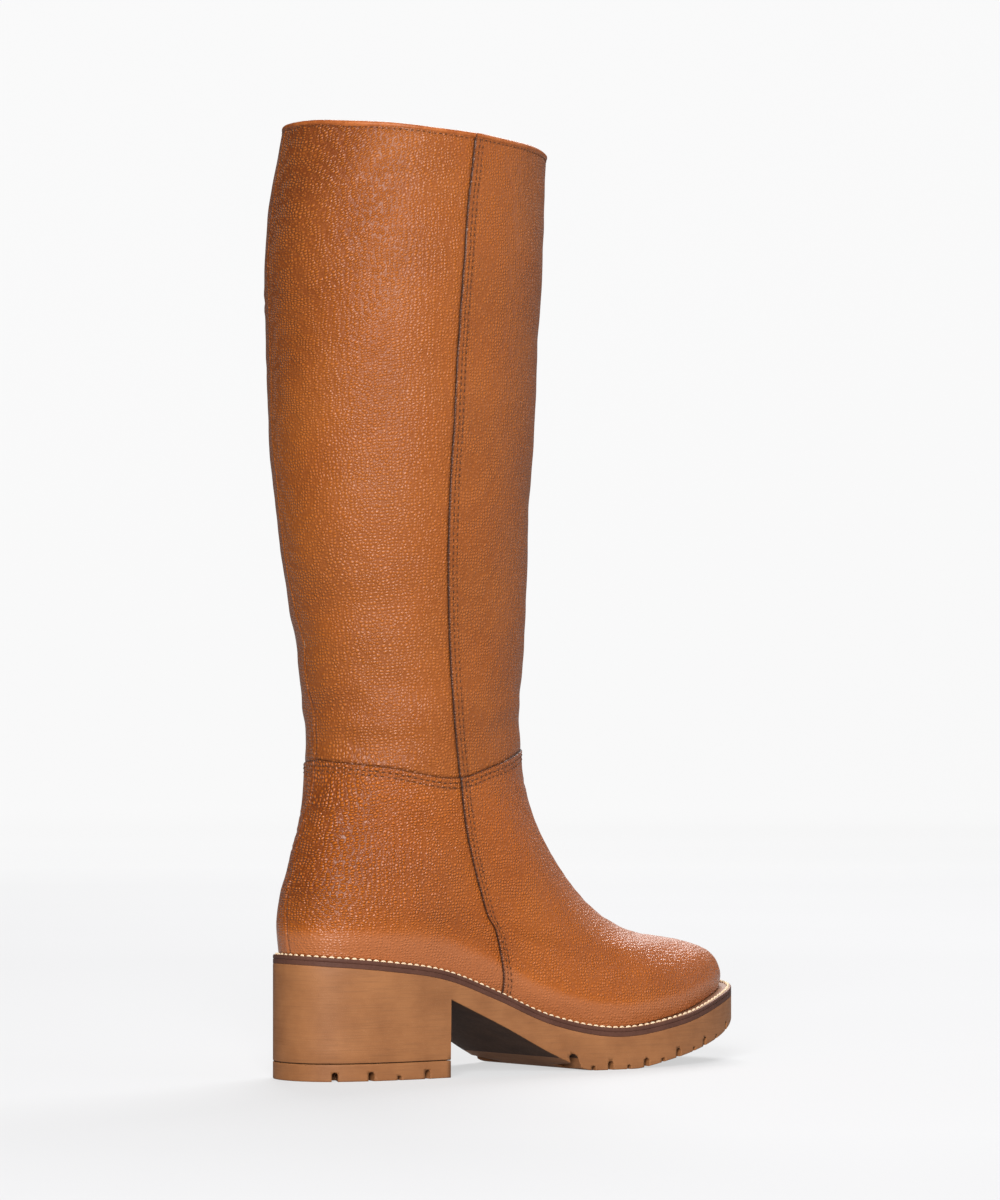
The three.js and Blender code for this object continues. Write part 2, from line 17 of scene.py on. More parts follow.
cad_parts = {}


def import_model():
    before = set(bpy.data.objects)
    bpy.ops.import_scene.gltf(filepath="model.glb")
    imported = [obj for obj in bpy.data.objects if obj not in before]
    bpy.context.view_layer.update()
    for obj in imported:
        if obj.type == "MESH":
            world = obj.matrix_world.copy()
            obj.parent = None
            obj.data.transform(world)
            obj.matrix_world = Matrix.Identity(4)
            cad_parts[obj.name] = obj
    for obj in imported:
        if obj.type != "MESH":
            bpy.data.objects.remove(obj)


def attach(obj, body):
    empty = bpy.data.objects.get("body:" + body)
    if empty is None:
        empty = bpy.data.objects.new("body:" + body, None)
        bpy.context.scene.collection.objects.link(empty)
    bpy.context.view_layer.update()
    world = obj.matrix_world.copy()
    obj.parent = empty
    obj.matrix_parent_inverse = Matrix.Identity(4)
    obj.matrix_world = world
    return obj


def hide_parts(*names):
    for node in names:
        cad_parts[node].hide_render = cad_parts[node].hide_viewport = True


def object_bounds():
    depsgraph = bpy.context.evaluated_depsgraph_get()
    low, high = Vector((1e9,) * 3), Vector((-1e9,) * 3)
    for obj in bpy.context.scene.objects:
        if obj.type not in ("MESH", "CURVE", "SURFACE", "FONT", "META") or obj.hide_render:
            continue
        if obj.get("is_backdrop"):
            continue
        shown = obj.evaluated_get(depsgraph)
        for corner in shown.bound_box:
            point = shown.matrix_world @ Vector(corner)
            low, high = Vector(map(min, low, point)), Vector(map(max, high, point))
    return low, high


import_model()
bounds_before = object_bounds()
MM = 0.001
rng = np.random.default_rng(20)

# ---- the last, as in the CAD -------------------------------------------------------------

FULLNESS_AT = np.radians([0, 40, 80, 125, 180])
NAMES = "level backX backZ frontX frontZ frontY follow heel seat waistOut waistIn ballOut ballIn toe".split()
LAST = np.array([
    [0.0, -36.3, 57.8, 223.0, 35.2, 7, 1.00, 60, 43.0, 32.0, 27, 50, 50, 54],
    [0.5, -37.2, 66.0, 224.0, 42.5, 7, 0.97, 61, 45.0, 34.5, 29, 52, 51, 55],
    [1.2, -36.5, 77.0, 217.0, 52.5, 6, 0.85, 61, 46.0, 35.0, 31, 50, 49, 51],
    [1.9, -34.5, 86.0, 200.0, 58.0, 6, 0.62, 59, 46.0, 36.0, 32, 45, 44, 43],
    [2.7, -31.5, 95.0, 168.0, 63.0, 5, 0.40, 54, 44.0, 37.0, 34, 43, 39, 38],
    [3.5, -28.0, 107, 141.0, 76.0, 4, 0.20, 50, 43.0, 38.0, 35, 42, 38, 36],
    [4.3, -24.5, 119, 118.0, 96.0, 2, 0.08, 45, 41.0, 39.0, 37, 42, 38, 36],
    [5.1, -21.0, 132, 101.0, 118, 0, 0.00, 43, 42.0, 41.0, 39, 42, 40, 38],
    [5.8, -19.0, 146, 93.0, 142, 0, 0.00, 42, 42.0, 42.0, 41, 42, 41, 40],
    [6.4, -18.7, 160, 90.0, 160, 0, 0.00, 43, 43.0, 43.0, 42, 43, 43, 42],
    [7.2, -23.5, 200, 92.0, 201, 0, 0.00, 46, 46.0, 46.0, 46, 46, 46, 46],
    [8.4, -33.5, 262, 93.5, 264, 0, 0.00, 52, 52.5, 53.0, 52, 52, 52, 52],
    [9.8, -38.0, 345, 98.0, 345, 0, 0.00, 57, 58.0, 58.0, 57, 57, 57, 56],
    [10.9, -36.8, 400, 101, 394, 0, 0.00, 57, 58.0, 58.0, 57, 57, 57, 56],
    [11.7, -28.7, 443, 103.3, 429.5, 0, 0.00, 55, 55.0, 55.0, 55, 55, 55, 55],
])
COLLAR = 11.7
STEP_UP, STEP_ROUND = .02, .002     # half steps in level and turn, for directions along the skin
WELT_EDGE = dict(backX=-39, frontX=229.5, frontY=7, heel=64, seat=47, waistOut=36.5, waistIn=31,
                 ballOut=57, ballIn=57, toe=61)
WELT_TOP = np.array([[-39, 58], [-5, 54.8], [30, 49.4], [60, 39], [90, 26.8], [125, 19.8],
                     [165, 24], [205, 33], [229.5, 36.7]])
SOLE_BOTTOM = np.array([[31.7, 36.2], [65, 21.4], [97, 5.6], [111, .3], [118, 0], [137, 0],
                        [156, 3.2], [183, 8.8], [205, 14.6], [229.5, 23]])
SIDE_SEAM = np.array([[0, .215], [1.6, .215], [3.4, .229], [5.8, .231], [7.4, .215],
                      [9.4, .220], [11.7, .232]])
ANKLE_SEAM = np.array([[0, 5.88], [.12, 5.77], [.235, 5.63], [.29, 5.83], [.38, 6.09], [.5, 6.15]])
BACK_SEAM = np.array([[0, 0], [2.4, -.012], [4, -.02], [6.6, -.018], [7, -.026], [7.5, -.034],
                      [8, -.045], [9, -.05], [11.7, -.05]])


def through(knots, values, at, flat_ends=False):
    """A smooth curve through values at knots. The last axis of values runs over the knots."""
    knots, values = np.asarray(knots, float), np.asarray(values, float)
    at = np.clip(np.asarray(at, float), knots[0], knots[-1])
    span = np.diff(knots)
    rise = np.diff(values, axis=-1) / span
    slope = np.zeros_like(values)
    slope[..., 1:-1] = (rise[..., :-1] * span[1:] + rise[..., 1:] * span[:-1]) / (span[:-1] + span[1:])
    if not flat_ends:
        slope[..., 0], slope[..., -1] = rise[..., 0], rise[..., -1]
    i = np.clip(np.searchsorted(knots, at, side="right") - 1, 0, len(knots) - 2)
    t = (at - knots[i]) / span[i]

    def pick(array, k):
        return array[k] if array.ndim == 1 else np.take_along_axis(array, k[..., None], -1)[..., 0]

    return (pick(values, i) * (2 * t**3 - 3 * t**2 + 1) + pick(values, i + 1) * (3 * t**2 - 2 * t**3)
            + pick(slope, i) * span[i] * (t**3 - 2 * t**2 + t) + pick(slope, i + 1) * span[i] * (t**3 - t**2))


def table(rows, at):
    return through(rows[:, 0], rows[:, 1], at)


def section(level):
    return {name: through(LAST[:, 0], LAST[:, k], level) for k, name in enumerate(NAMES)}


FEATHER = {name: LAST[0, k] for k, name in enumerate(NAMES)}


def plan(sec, turn):
    """A section's outline seen from above, and how far along the boot each point lies."""
    around = 2 * np.pi * np.asarray(turn, float)
    angle = np.arccos(np.clip(np.cos(around), -1, 1))
    outer = np.sin(around) >= 0
    shape = np.broadcast(angle, sec["heel"]).shape
    widths = [sec["heel"], sec["seat"], np.where(outer, sec["waistOut"], sec["waistIn"]),
              np.where(outer, sec["ballOut"], sec["ballIn"]), sec["toe"]]
    widths = np.stack([np.broadcast_to(w, shape) for w in widths], -1)
    fullness = through(FULLNESS_AT, widths, np.broadcast_to(angle, shape), True)
    along = (1 - np.cos(angle)) / 2
    x = sec["backX"] + (sec["frontX"] - sec["backX"]) * along
    y = sec["frontY"] * along**2 + np.where(outer, -1, 1) * fullness * np.sin(angle)
    return x, y, along


def welt_top(x):
    return table(WELT_TOP, x)


def skin(level, turn):
    """The last's surface. Its low sections dip with the welt."""
    level, turn = np.broadcast_arrays(np.asarray(level, float), np.asarray(turn, float))
    sec = section(level)
    x, y, along = plan(sec, turn)
    foot = FEATHER["backX"] + (FEATHER["frontX"] - FEATHER["backX"]) * along
    back, front = welt_top(FEATHER["backX"]), welt_top(FEATHER["frontX"])
    dip = welt_top(foot) - (back + (front - back) * along)
    z = sec["backZ"] + (sec["frontZ"] - sec["backZ"]) * along + sec["follow"] * dip
    return np.stack([x, y, z], -1)


def bearings(level, turn):
    """The skin's own directions: up the boot and round it, per level and per turn, and out."""
    level, turn = np.broadcast_arrays(np.asarray(level, float), np.asarray(turn, float))
    low, high = np.maximum(0, level - STEP_UP), np.minimum(COLLAR, level + STEP_UP)
    up = (skin(high, turn) - skin(low, turn)) / (high - low)[..., None]
    around = (skin(level, turn + STEP_ROUND) - skin(level, turn - STEP_ROUND)) / (2 * STEP_ROUND)
    out = np.cross(around, up)
    return up, around, out / length(out)[..., None]


def climb(level, turn):
    """Millimetres per level, up the boot."""
    return float(length(bearings(level, turn)[0]))


def length(vectors):
    return np.linalg.norm(vectors, axis=-1)


def unit(vectors):
    return vectors / length(vectors)[..., None]


def smooth(share):
    """An even rise from 0 to 1."""
    share = np.clip(share, 0, 1)
    return share * share * (3 - 2 * share)


def gauss(distance, width):
    """A bump of height 1."""
    return np.exp(-(distance / width) ** 2)


def side_seam(level):
    return table(SIDE_SEAM, level)


def back_seam(level):
    return table(BACK_SEAM, level)


def ankle(turn):
    return table(ANKLE_SEAM, np.abs(turn - np.round(turn)))


# ---- measures of the leather work ----------------------------------------------------------

LEATHER_THICK = 1.15
LINING = 1.25, 2.0                  # depths of the lining's two faces
LAP = 0.85                          # how far a lapping panel stands up at its cut edge
LAP_FADE = 8.0
LAP_UNDER = 2.4                     # how far a panel runs on under the one that laps it
SEAM_ROWS = 2.5, 4.6                # stitch rows from a cut edge
ZIP_HALF = 4.0                      # half the width of the zip's slot
ZIP_BOTTOM, ZIP_CLOSE = 1.9, .12    # level of the slot's lower end, and its pointed stretch
ZIP_ROWS = 1.5, 3.9
RIM_ROW = 2.3
ROUND_COLLAR = 330                  # a low figure for millimetres per turn at the collar
SLIT_TURN, SLIT_LENGTH = -.142, 66.0
SLIT_WIDE, SLIT_NARROW = .002325, .000868   # half its width in turns, at the collar and low down
U_HALF, U_LENGTH = 7.2, 83.0        # the U of stitches round the slit
TAPE_DEPTH, ELASTIC_DEPTH = (2.5, 3.3), (2.5, 3.4)
ELASTIC_LONG, ELASTIC_WIDE = 80, 15
BELOW_ANKLE, ABOVE_ANKLE = .02, .05  # how far in levels the stitch rows stop from the ankle seam


def opened(level, stretch):
    """Rises from 0 to 1 over a stretch of levels just under the zip's lower end."""
    return smooth((level - ZIP_BOTTOM + stretch) / stretch)


def zip_half(level):
    """Half the zip's slot, drawn in to nothing under its lower end."""
    return ZIP_HALF * opened(level, ZIP_CLOSE)


LEVELS = np.linspace(0, COLLAR, 400)
ZIP_ROUND = length(bearings(LEVELS, 1 - side_seam(LEVELS))[1])
SEAM_ROUND = length(bearings(LEVELS, side_seam(LEVELS))[1])
SLIT_UP = climb(COLLAR - .5, SLIT_TURN)
SLIT_BOTTOM = COLLAR - SLIT_LENGTH / SLIT_UP
U_BOTTOM = COLLAR - U_LENGTH / SLIT_UP


def zip_round(level):
    return np.interp(level, LEVELS, ZIP_ROUND)


def seam_round(level):
    return np.interp(level, LEVELS, SEAM_ROUND)


CREASE_GAIN, CREASE_FADE = 1.3, 1.25    # on every crease's depth, and half lengths to its end
# Creases: level, turn, angle from level ground, length, width, depth, sag of its middle.
CREASES = [
    # fine wrinkles on the back of the heel, outer and inner
    (4.75, .052, 8, 15, 1.0, .20, 1.5), (4.5, .070, -4, 12, .9, .18, 1),
    (4.22, .045, 6, 16, 1.0, .22, 1.6), (4.0, .078, -8, 13, .9, .18, 1),
    (3.75, .050, 4, 17, 1.0, .24, 1.5), (3.5, .082, -6, 12, .9, .18, 1),
    (3.3, .056, 6, 16, 1.0, .22, 1.4), (3.05, .088, -10, 12, .9, .16, .8),
    (2.8, .060, 5, 15, .9, .18, 1.2), (2.55, .095, -8, 11, .9, .14, .8),
    (4.6, -.06, -6, 14, 1.0, .20, 1.2), (4.1, -.055, 5, 16, 1.0, .22, 1.5),
    (3.6, -.062, -4, 15, 1.0, .22, 1.4), (3.1, -.07, 6, 13, .9, .18, 1),
    (2.7, -.075, -6, 12, .9, .16, .8),
    # diagonal wrinkles at the bend of the ankle, outer and inner
    (5.75, .335, -24, 20, 1.2, .26, 1.5), (5.5, .362, -28, 24, 1.3, .30, 2),
    (5.3, .330, -22, 18, 1.1, .24, 1.2), (5.1, .372, -30, 24, 1.4, .32, 2),
    (4.85, .342, -24, 20, 1.2, .26, 1.5), (4.65, .385, -32, 24, 1.4, .32, 2),
    (4.4, .352, -26, 20, 1.2, .24, 1.5), (4.2, .398, -34, 24, 1.4, .30, 2),
    (3.95, .362, -28, 18, 1.2, .22, 1.2), (5.6, .43, -14, 22, 1.5, .30, 1.5),
    (5.2, .46, -8, 24, 1.6, .32, 1.5), (4.8, .448, -14, 24, 1.6, .30, 1.5),
    (5.4, .54, 10, 24, 1.6, .32, 1.5), (4.9, .56, 14, 24, 1.5, .30, 1.5),
    (5.6, .62, 26, 20, 1.3, .26, 1.5), (5.2, .65, 26, 22, 1.3, .28, 1.5),
    (4.7, .63, 30, 22, 1.3, .28, 1.5), (4.3, .61, 32, 22, 1.3, .26, 1.5),
    # the soft folds across the vamp where the foot bends
    (3.35, .43, -22, 34, 3.0, .13, 3), (2.95, .44, -18, 36, 3.2, .12, 3),
    (2.6, .43, -16, 30, 3.0, .10, 3), (3.2, .575, 20, 34, 3.0, .13, 3), (2.8, .57, 16, 34, 3.2, .12, 3),
    (3.75, .405, -30, 30, 2.4, .14, 2.5),
    # short wrinkles drawn up from the waist's feather edge
    (.75, .118, -38, 12, .9, .17, .6), (.7, .130, -40, 13, .9, .20, .6),
    (.66, .142, -42, 14, .9, .20, .6), (.62, .154, -42, 14, .9, .22, .6),
    (.6, .166, -44, 14, .9, .22, .6), (.56, .178, -44, 13, .9, .20, .6),
    (.52, .190, -46, 12, .9, .18, .6), (.5, .201, -46, 11, .9, .16, .6),
    (.6, -.13, 40, 13, .9, .18, .6), (.58, -.15, 42, 13, .9, .20, .6), (.55, -.17, 44, 13, .9, .20, .6),
    (.5, -.19, 46, 12, .9, .18, .6),
    # slack of the leg over the ankle, all round
    (6.35, .10, -5, 58, 5.5, .55, 3), (6.72, .03, 6, 52, 6.0, .60, 3), (6.5, -.12, 5, 50, 5.5, .50, 3),
    (6.9, .16, -8, 46, 6.0, .40, 3), (6.45, .36, 6, 56, 5.5, .50, -3), (6.8, .42, -6, 50, 6.0, .40, 3),
    (6.5, .60, 5, 50, 5.5, .45, 3), (7.3, -.05, -5, 50, 8.0, .50, 4), (7.6, .10, 5, 56, 9.0, .45, 3),
    # fine level wrinkles high on the back
    (11.25, .012, 4, 18, 1.1, .20, .8), (11.05, .034, -5, 20, 1.2, .22, 1),
    (10.86, .006, 4, 22, 1.2, .24, 1), (10.66, .040, -4, 20, 1.2, .22, 1),
    (10.48, .014, 6, 22, 1.2, .24, 1), (10.3, .052, -5, 18, 1.1, .18, 1),
    (10.1, .020, 3, 20, 1.2, .18, 1), (11.15, -.03, 5, 16, 1.1, .20, .8),
    (10.75, -.035, -4, 18, 1.1, .22, .8), (10.35, -.03, 5, 18, 1.1, .20, .8),
    # puckers under the elastic's stitching
    (9.93, SLIT_TURN, 4, 34, 2.2, .45, -3), (9.72, SLIT_TURN - .012, -6, 38, 2.8, .50, -4),
    (9.5, SLIT_TURN + .014, 8, 30, 2.6, .34, -3), (10.15, SLIT_TURN + .05, 14, 22, 2.0, .28, 2),
    (10.2, SLIT_TURN - .045, -12, 20, 2.0, .26, 2),
]
WAVES = [(rng.normal(size=3) * (2 * np.pi / wave), rng.uniform(0, 2 * np.pi), depth)
         for wave, depth in [(95, .20), (80, .18), (62, .15), (48, .12), (34, .08), (26, .06), (19, .04)]]


def folds(level, turn, point, up, around):
    """Slow unevenness and the creases, as a height over the last."""
    height = np.zeros(point.shape[:-1])
    for pull, phase, depth in WAVES:
        height += depth * np.sin(point @ pull + phase)
    per_turn, per_level = length(around), length(up)
    for at_level, at_turn, angle, long, wide, deep, sag in CREASES:
        across = (turn - at_turn - np.round(turn - at_turn)) * per_turn
        upward = (level - at_level) * per_level
        c, s = math.cos(math.radians(angle)), math.sin(math.radians(angle))
        share = (across * c + upward * s) / (long / 2)
        rise = upward * c - across * s + sag * (1 - share**2)
        window = smooth(CREASE_FADE - np.abs(share)) * (np.abs(share) < CREASE_FADE)
        ridges, trough = gauss(np.abs(rise) - 1.7 * wide, .8 * wide), gauss(rise, wide)
        height += CREASE_GAIN * deep * window * (.45 * ridges - trough)
    return height


def u_distance(level, turn, up, around):
    """Distance from the U of stitches round the slit."""
    across = (turn - SLIT_TURN) * length(around)
    above = (level - U_BOTTOM) * length(up)
    ring = np.hypot(across, np.minimum(above - U_HALF, 0))
    return np.where(above > -3 * U_HALF, np.abs(ring - U_HALF), 99)


def rounding(distance, radius=.7, drop=.35):
    """A cut edge's worn corner."""
    return -drop * np.clip(1 - distance / radius, 0, 1) ** 2


def to_edges(level, turn, front):
    """Directions, millimetres per turn and level, and distances to side seam, slot and ankle seam."""
    up, around, _ = bearings(level, turn)
    per_turn, per_level = length(around), length(up)
    seam = side_seam(level)
    outer = ((turn - seam) if front else (seam - turn)) * per_turn
    to_zip = ((1 - seam - turn) if front else (turn + seam)) * per_turn
    to_ankle = (ankle(turn) - level) * per_level
    return up, around, per_turn, per_level, outer, to_zip - zip_half(level), to_ankle


def zip_closed(level):
    """1 where the inner side is sewn up below the zip, 0 along the zip."""
    return 1 - opened(level, .2)


def seam_face(distance):
    """The lap at a cut edge, with the channels of its two stitch rows."""
    channels = sum(.24 * gauss(distance - row, .55) for row in SEAM_ROWS)
    return LAP * gauss(np.maximum(distance, 0), LAP_FADE) - channels


def face(level, turn, front, foot):
    """How far the leather's face stands out from the last, for one of the four panels."""
    level, turn = np.broadcast_arrays(np.asarray(level, float), np.asarray(turn, float))
    point = skin(level, turn)
    up, around, per_turn, per_level, outer, zip_edge, to_ankle = to_edges(level, turn, front)
    to_rim = (COLLAR - level) * per_level
    closed = zip_closed(level)
    above_welt = smooth(level * per_level / 9)
    height = folds(level, turn, point, up, around) * above_welt
    if front:
        height += seam_face(outer) + closed * seam_face(zip_edge) + rounding(outer)
    else:
        height -= .4 * smooth((1.2 - outer) / 2) + .4 * closed * smooth((1.2 - zip_edge) / 2)
        behind = (turn - back_seam(level)) * per_turn
        height += -.5 * gauss(behind, .5) + .16 * gauss(np.abs(behind) - 1.7, 1.0)
        if not foot:
            height -= .22 * gauss(u_distance(level, turn, up, around), .5)
            inside_u = smooth((U_HALF - np.abs(turn - SLIT_TURN) * per_turn) / 3)
            height += .12 * inside_u * (level > U_BOTTOM)
    if foot:
        height += seam_face(to_ankle) + rounding(to_ankle)
        # the stiffener inside the heel
        height += .9 * gauss(level - 1.7, 1.1) * gauss(turn, .085) * (1 - .7 * front) * above_welt
    else:
        height -= .4 * smooth((to_ankle + 1.2) / 2) + .2 * gauss(to_rim - RIM_ROW, .5)
    height += (1 - closed) * (rounding(zip_edge, 1.1, .5) + .28 * gauss(zip_edge - 2.7, 1.3))
    for row in ZIP_ROWS:
        height -= .22 * (1 - closed) * gauss(zip_edge - row, .45)
    return height


# ---- meshes --------------------------------------------------------------------------------


def mesh_of(name, points, faces):
    """A mesh from points in millimetres and arrays of corner numbers."""
    mesh = bpy.data.meshes.new(name)
    corners = [corner for group in faces for corner in group.tolist()]
    mesh.from_pydata((np.asarray(points, float) * MM).tolist(), [], corners)
    return mesh


def placed(name, data):
    """An object of that data, in the scene."""
    thing = bpy.data.objects.new(name, data)
    bpy.context.scene.collection.objects.link(thing)
    return thing


def shade_smooth(mesh):
    mesh.polygons.foreach_set("use_smooth", [True] * len(mesh.polygons))


def build(name, points, faces, materials, slot, replaced=(), material_of=None, attributes=None):
    """A smooth piece of the boot, with values of its own at its points."""
    mesh = mesh_of(name, points, faces)
    for key, values in (attributes or {}).items():
        kind, field = ("FLOAT_VECTOR", "vector") if np.ndim(values) == 2 else ("FLOAT", "value")
        layer = mesh.attributes.new(key, kind, "POINT")
        layer.data.foreach_set(field, np.asarray(values, np.float32).ravel())
    for material in materials:
        mesh.materials.append(material)
    if material_of is not None:
        mesh.polygons.foreach_set("material_index", np.asarray(material_of, np.int32))
    shade_smooth(mesh)
    mesh.validate()
    return finish_piece(placed(name, mesh), slot, replaced, "boot")


def finish_piece(piece, slot, replaced, body):
    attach(piece, body)
    if replaced:
        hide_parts(*replaced)
    return piece


def rings(rows, sides):
    """Corner numbers of a tube: its side, ring to ring, and its two end caps."""
    index = np.arange(rows * sides).reshape(rows, sides)
    a, b = index[:-1], index[1:]
    quads = np.stack([a, np.roll(a, -1, 1), np.roll(b, -1, 1), b], -1).reshape(-1, 4)
    return quads, np.stack([index[0][::-1], index[-1]])


def tidy_mesh(mesh, merge=.004):
    """Welds touching points and turns every face outward."""
    work = bmesh.new()
    work.from_mesh(mesh)
    bmesh.ops.remove_doubles(work, verts=work.verts, dist=merge * MM)
    bmesh.ops.dissolve_degenerate(work, dist=.0005 * MM, edges=work.edges)
    bmesh.ops.recalc_face_normals(work, faces=work.faces)
    work.to_mesh(mesh)
    work.free()
    mesh.update()


def solid(*shape, **more):
    """A built piece with its touching points welded."""
    piece = build(*shape, **more)
    tidy_mesh(piece.data)
    return piece


def graded(total, fine=.38, coarse=1.9, reach=8.0, start=True, end=True):
    """Shares of a length, set close together near its ends."""
    x = np.linspace(0, total, 3000)
    near = np.minimum(x if start else np.inf, total - x if end else np.inf)
    step = fine + (coarse - fine) * smooth(near / reach)
    count = np.concatenate([[0], np.cumsum((x[1:] - x[:-1]) / step[1:])])
    cells = max(2, math.ceil(count[-1]))
    return np.interp(np.linspace(0, count[-1], cells + 1), count, x) / total


def grid(edges, spacings, bottom, top, shares):
    """Levels and turns of a panel's grid. Columns gather at the edges, which are turn curves."""
    columns = [(k, f) for k, spacing in enumerate(spacings) for f in (spacing if k == 0 else spacing[1:])]
    which = np.array([k for k, _ in columns])
    share = np.array([f for _, f in columns])
    shares = shares[:, None]
    picked = which[None, None, :].repeat(len(shares), 1)
    start = np.zeros(len(which))
    levels = bottom(start)[None] * (1 - shares) + top(start)[None] * shares
    for _ in range(5):
        lines = np.stack([edge(levels) for edge in edges])
        turns = np.take_along_axis(lines, picked, 0)[0] * (1 - share)
        turns = turns + np.take_along_axis(lines, picked + 1, 0)[0] * share
        levels = bottom(turns) * (1 - shares) + top(turns) * shares
    return levels, turns


def sheet(name, levels, turns, outer, inner, materials, slot, keep=None, settle=False, dye_and_shade=None, **more):
    """A closed sheet between two heights over the last. Its materials: face, cut edge, back."""
    rows, columns = levels.shape
    point = skin(levels, turns)
    up, around, out = bearings(levels, turns)
    top, low = point + out * outer[..., None], point + out * inner[..., None]
    if settle:
        # The lowest row turns down onto the welt.
        for layer in (top, low):
            layer[0, :, 2] = welt_top(layer[0, :, 0]) + .1
    total = rows * columns
    index = np.arange(total).reshape(rows, columns)
    keep = np.ones((rows - 1, columns - 1), bool) if keep is None else keep
    a, b, c, d = index[:-1, :-1], index[:-1, 1:], index[1:, 1:], index[1:, :-1]
    quads = np.stack([a[keep], b[keep], c[keep], d[keep]], -1)
    padded = np.pad(keep, 1)
    walls = []
    for start, stop, beyond in ((a, b, padded[:-2, 1:-1]), (b, c, padded[1:-1, 2:]),
                                (c, d, padded[2:, 1:-1]), (d, a, padded[1:-1, :-2])):
        edge = keep & ~beyond
        walls.append(np.stack([stop[edge], start[edge], start[edge] + total, stop[edge] + total], -1))
    walls = np.concatenate(walls)
    faces = np.concatenate([quads, quads[:, ::-1] + total, walls])
    used = np.unique(faces)
    renumber = np.full(2 * total, -1)
    renumber[used] = np.arange(len(used))
    points = np.concatenate([top.reshape(-1, 3), low.reshape(-1, 3)])[used]
    kinds = np.repeat([0, 2, 1], [len(quads), len(quads), len(walls)])
    marks = grain_marks(levels, turns, point, up, around)
    marks["dye_and_shade"] = np.zeros(levels.shape) if dye_and_shade is None else dye_and_shade
    attributes = {}
    for key, values in marks.items():
        both = np.concatenate([values.reshape(total, -1)] * 2)[used]
        attributes[key] = both if values.ndim == 3 else both[:, 0]
    return build(name, points, [renumber[faces]], materials, slot, material_of=kinds,
                 attributes=attributes, **more)


# How far the grain is drawn level at the boot's back, by level.
DRAWN = np.array([[0, .2], [1, .5], [2, .9], [4.8, .9], [6.2, .3], [9, .2], [10.2, .8], [11.7, 1.0]])


def grain_marks(levels, turns, point, up, around):
    """What the leather's material reads: where its grain lies, and where it is drawn or rubbed."""
    side = np.abs(turns - np.round(turns))
    drawn = gauss(side, .15) * np.interp(levels, *DRAWN.T)
    grain = point * (np.array([1, 1, 1.1]) + drawn[..., None] * np.array([-.35, -.35, .1]))
    above_welt = levels * length(up)
    rubbed = 1 - smooth((above_welt - 5 - 5 * gauss(side - .2, .12)) / 13)
    toe = gauss(side - .5, .13) * (1 - smooth((levels - 1.2) / 2.2))
    return {"grain": grain, "drawn": drawn, "rubbed": np.maximum(rubbed, .45 * toe)}


def dye_and_shade_marks(level, turn, front, foot):
    """Dark marks on the leather: dye and painted shade along the cut edges, and painted shade where a panel
    runs under a lap, in the stitch channels, in the closed seams, along the slit and beside the zip.
    """
    up, around, per_turn, per_level, outer, zip_edge, to_ankle = to_edges(level, turn, front)
    closed = zip_closed(level)
    dark = np.zeros(level.shape)
    if front:
        # dye and painted shade along the front panel's cut edges, and painted shade in its stitch channels
        for edge, share in ((outer, 1), (zip_edge, closed)):
            dark += .95 * share * gauss(edge, .65)
            dark += sum(.30 * share * gauss(edge - row, .42) for row in SEAM_ROWS)
    else:
        # painted shade where the back panel runs under the front one, and in the back seam's groove
        dark += .6 * smooth((1.1 - outer) / 1.1) + .6 * closed * smooth((1.1 - zip_edge) / 1.1)
        dark += .6 * gauss((turn - back_seam(level)) * per_turn, .42)
        if not foot:
            # painted shade in the U's stitch channel and along the slit
            dark += .3 * gauss(u_distance(level, turn, up, around), .4)
            dark += .5 * gauss((turn - SLIT_TURN) * per_turn, 1.1) * (level > SLIT_BOTTOM)
    if foot:
        # dye and painted shade along the foot's cut edge at the ankle, and painted shade in its stitch
        # channels
        dark += .85 * gauss(to_ankle, .55) + sum(.42 * gauss(to_ankle - row, .42) for row in SEAM_ROWS)
    else:
        # painted shade where the leg runs under the foot's cut edge, and in the rim row's channel
        dark += .5 * smooth(to_ankle + 1.0) + .35 * gauss((COLLAR - level) * per_level - RIM_ROW, .4)
    # painted shade beside the zip and in its stitch channels
    beside_zip = .35 * gauss(zip_edge, .5) + sum(.3 * gauss(zip_edge - row, .4) for row in ZIP_ROWS)
    return np.clip(dark + (1 - closed) * beside_zip, 0, 1)


# ---- materials ------------------------------------------------------------------------------


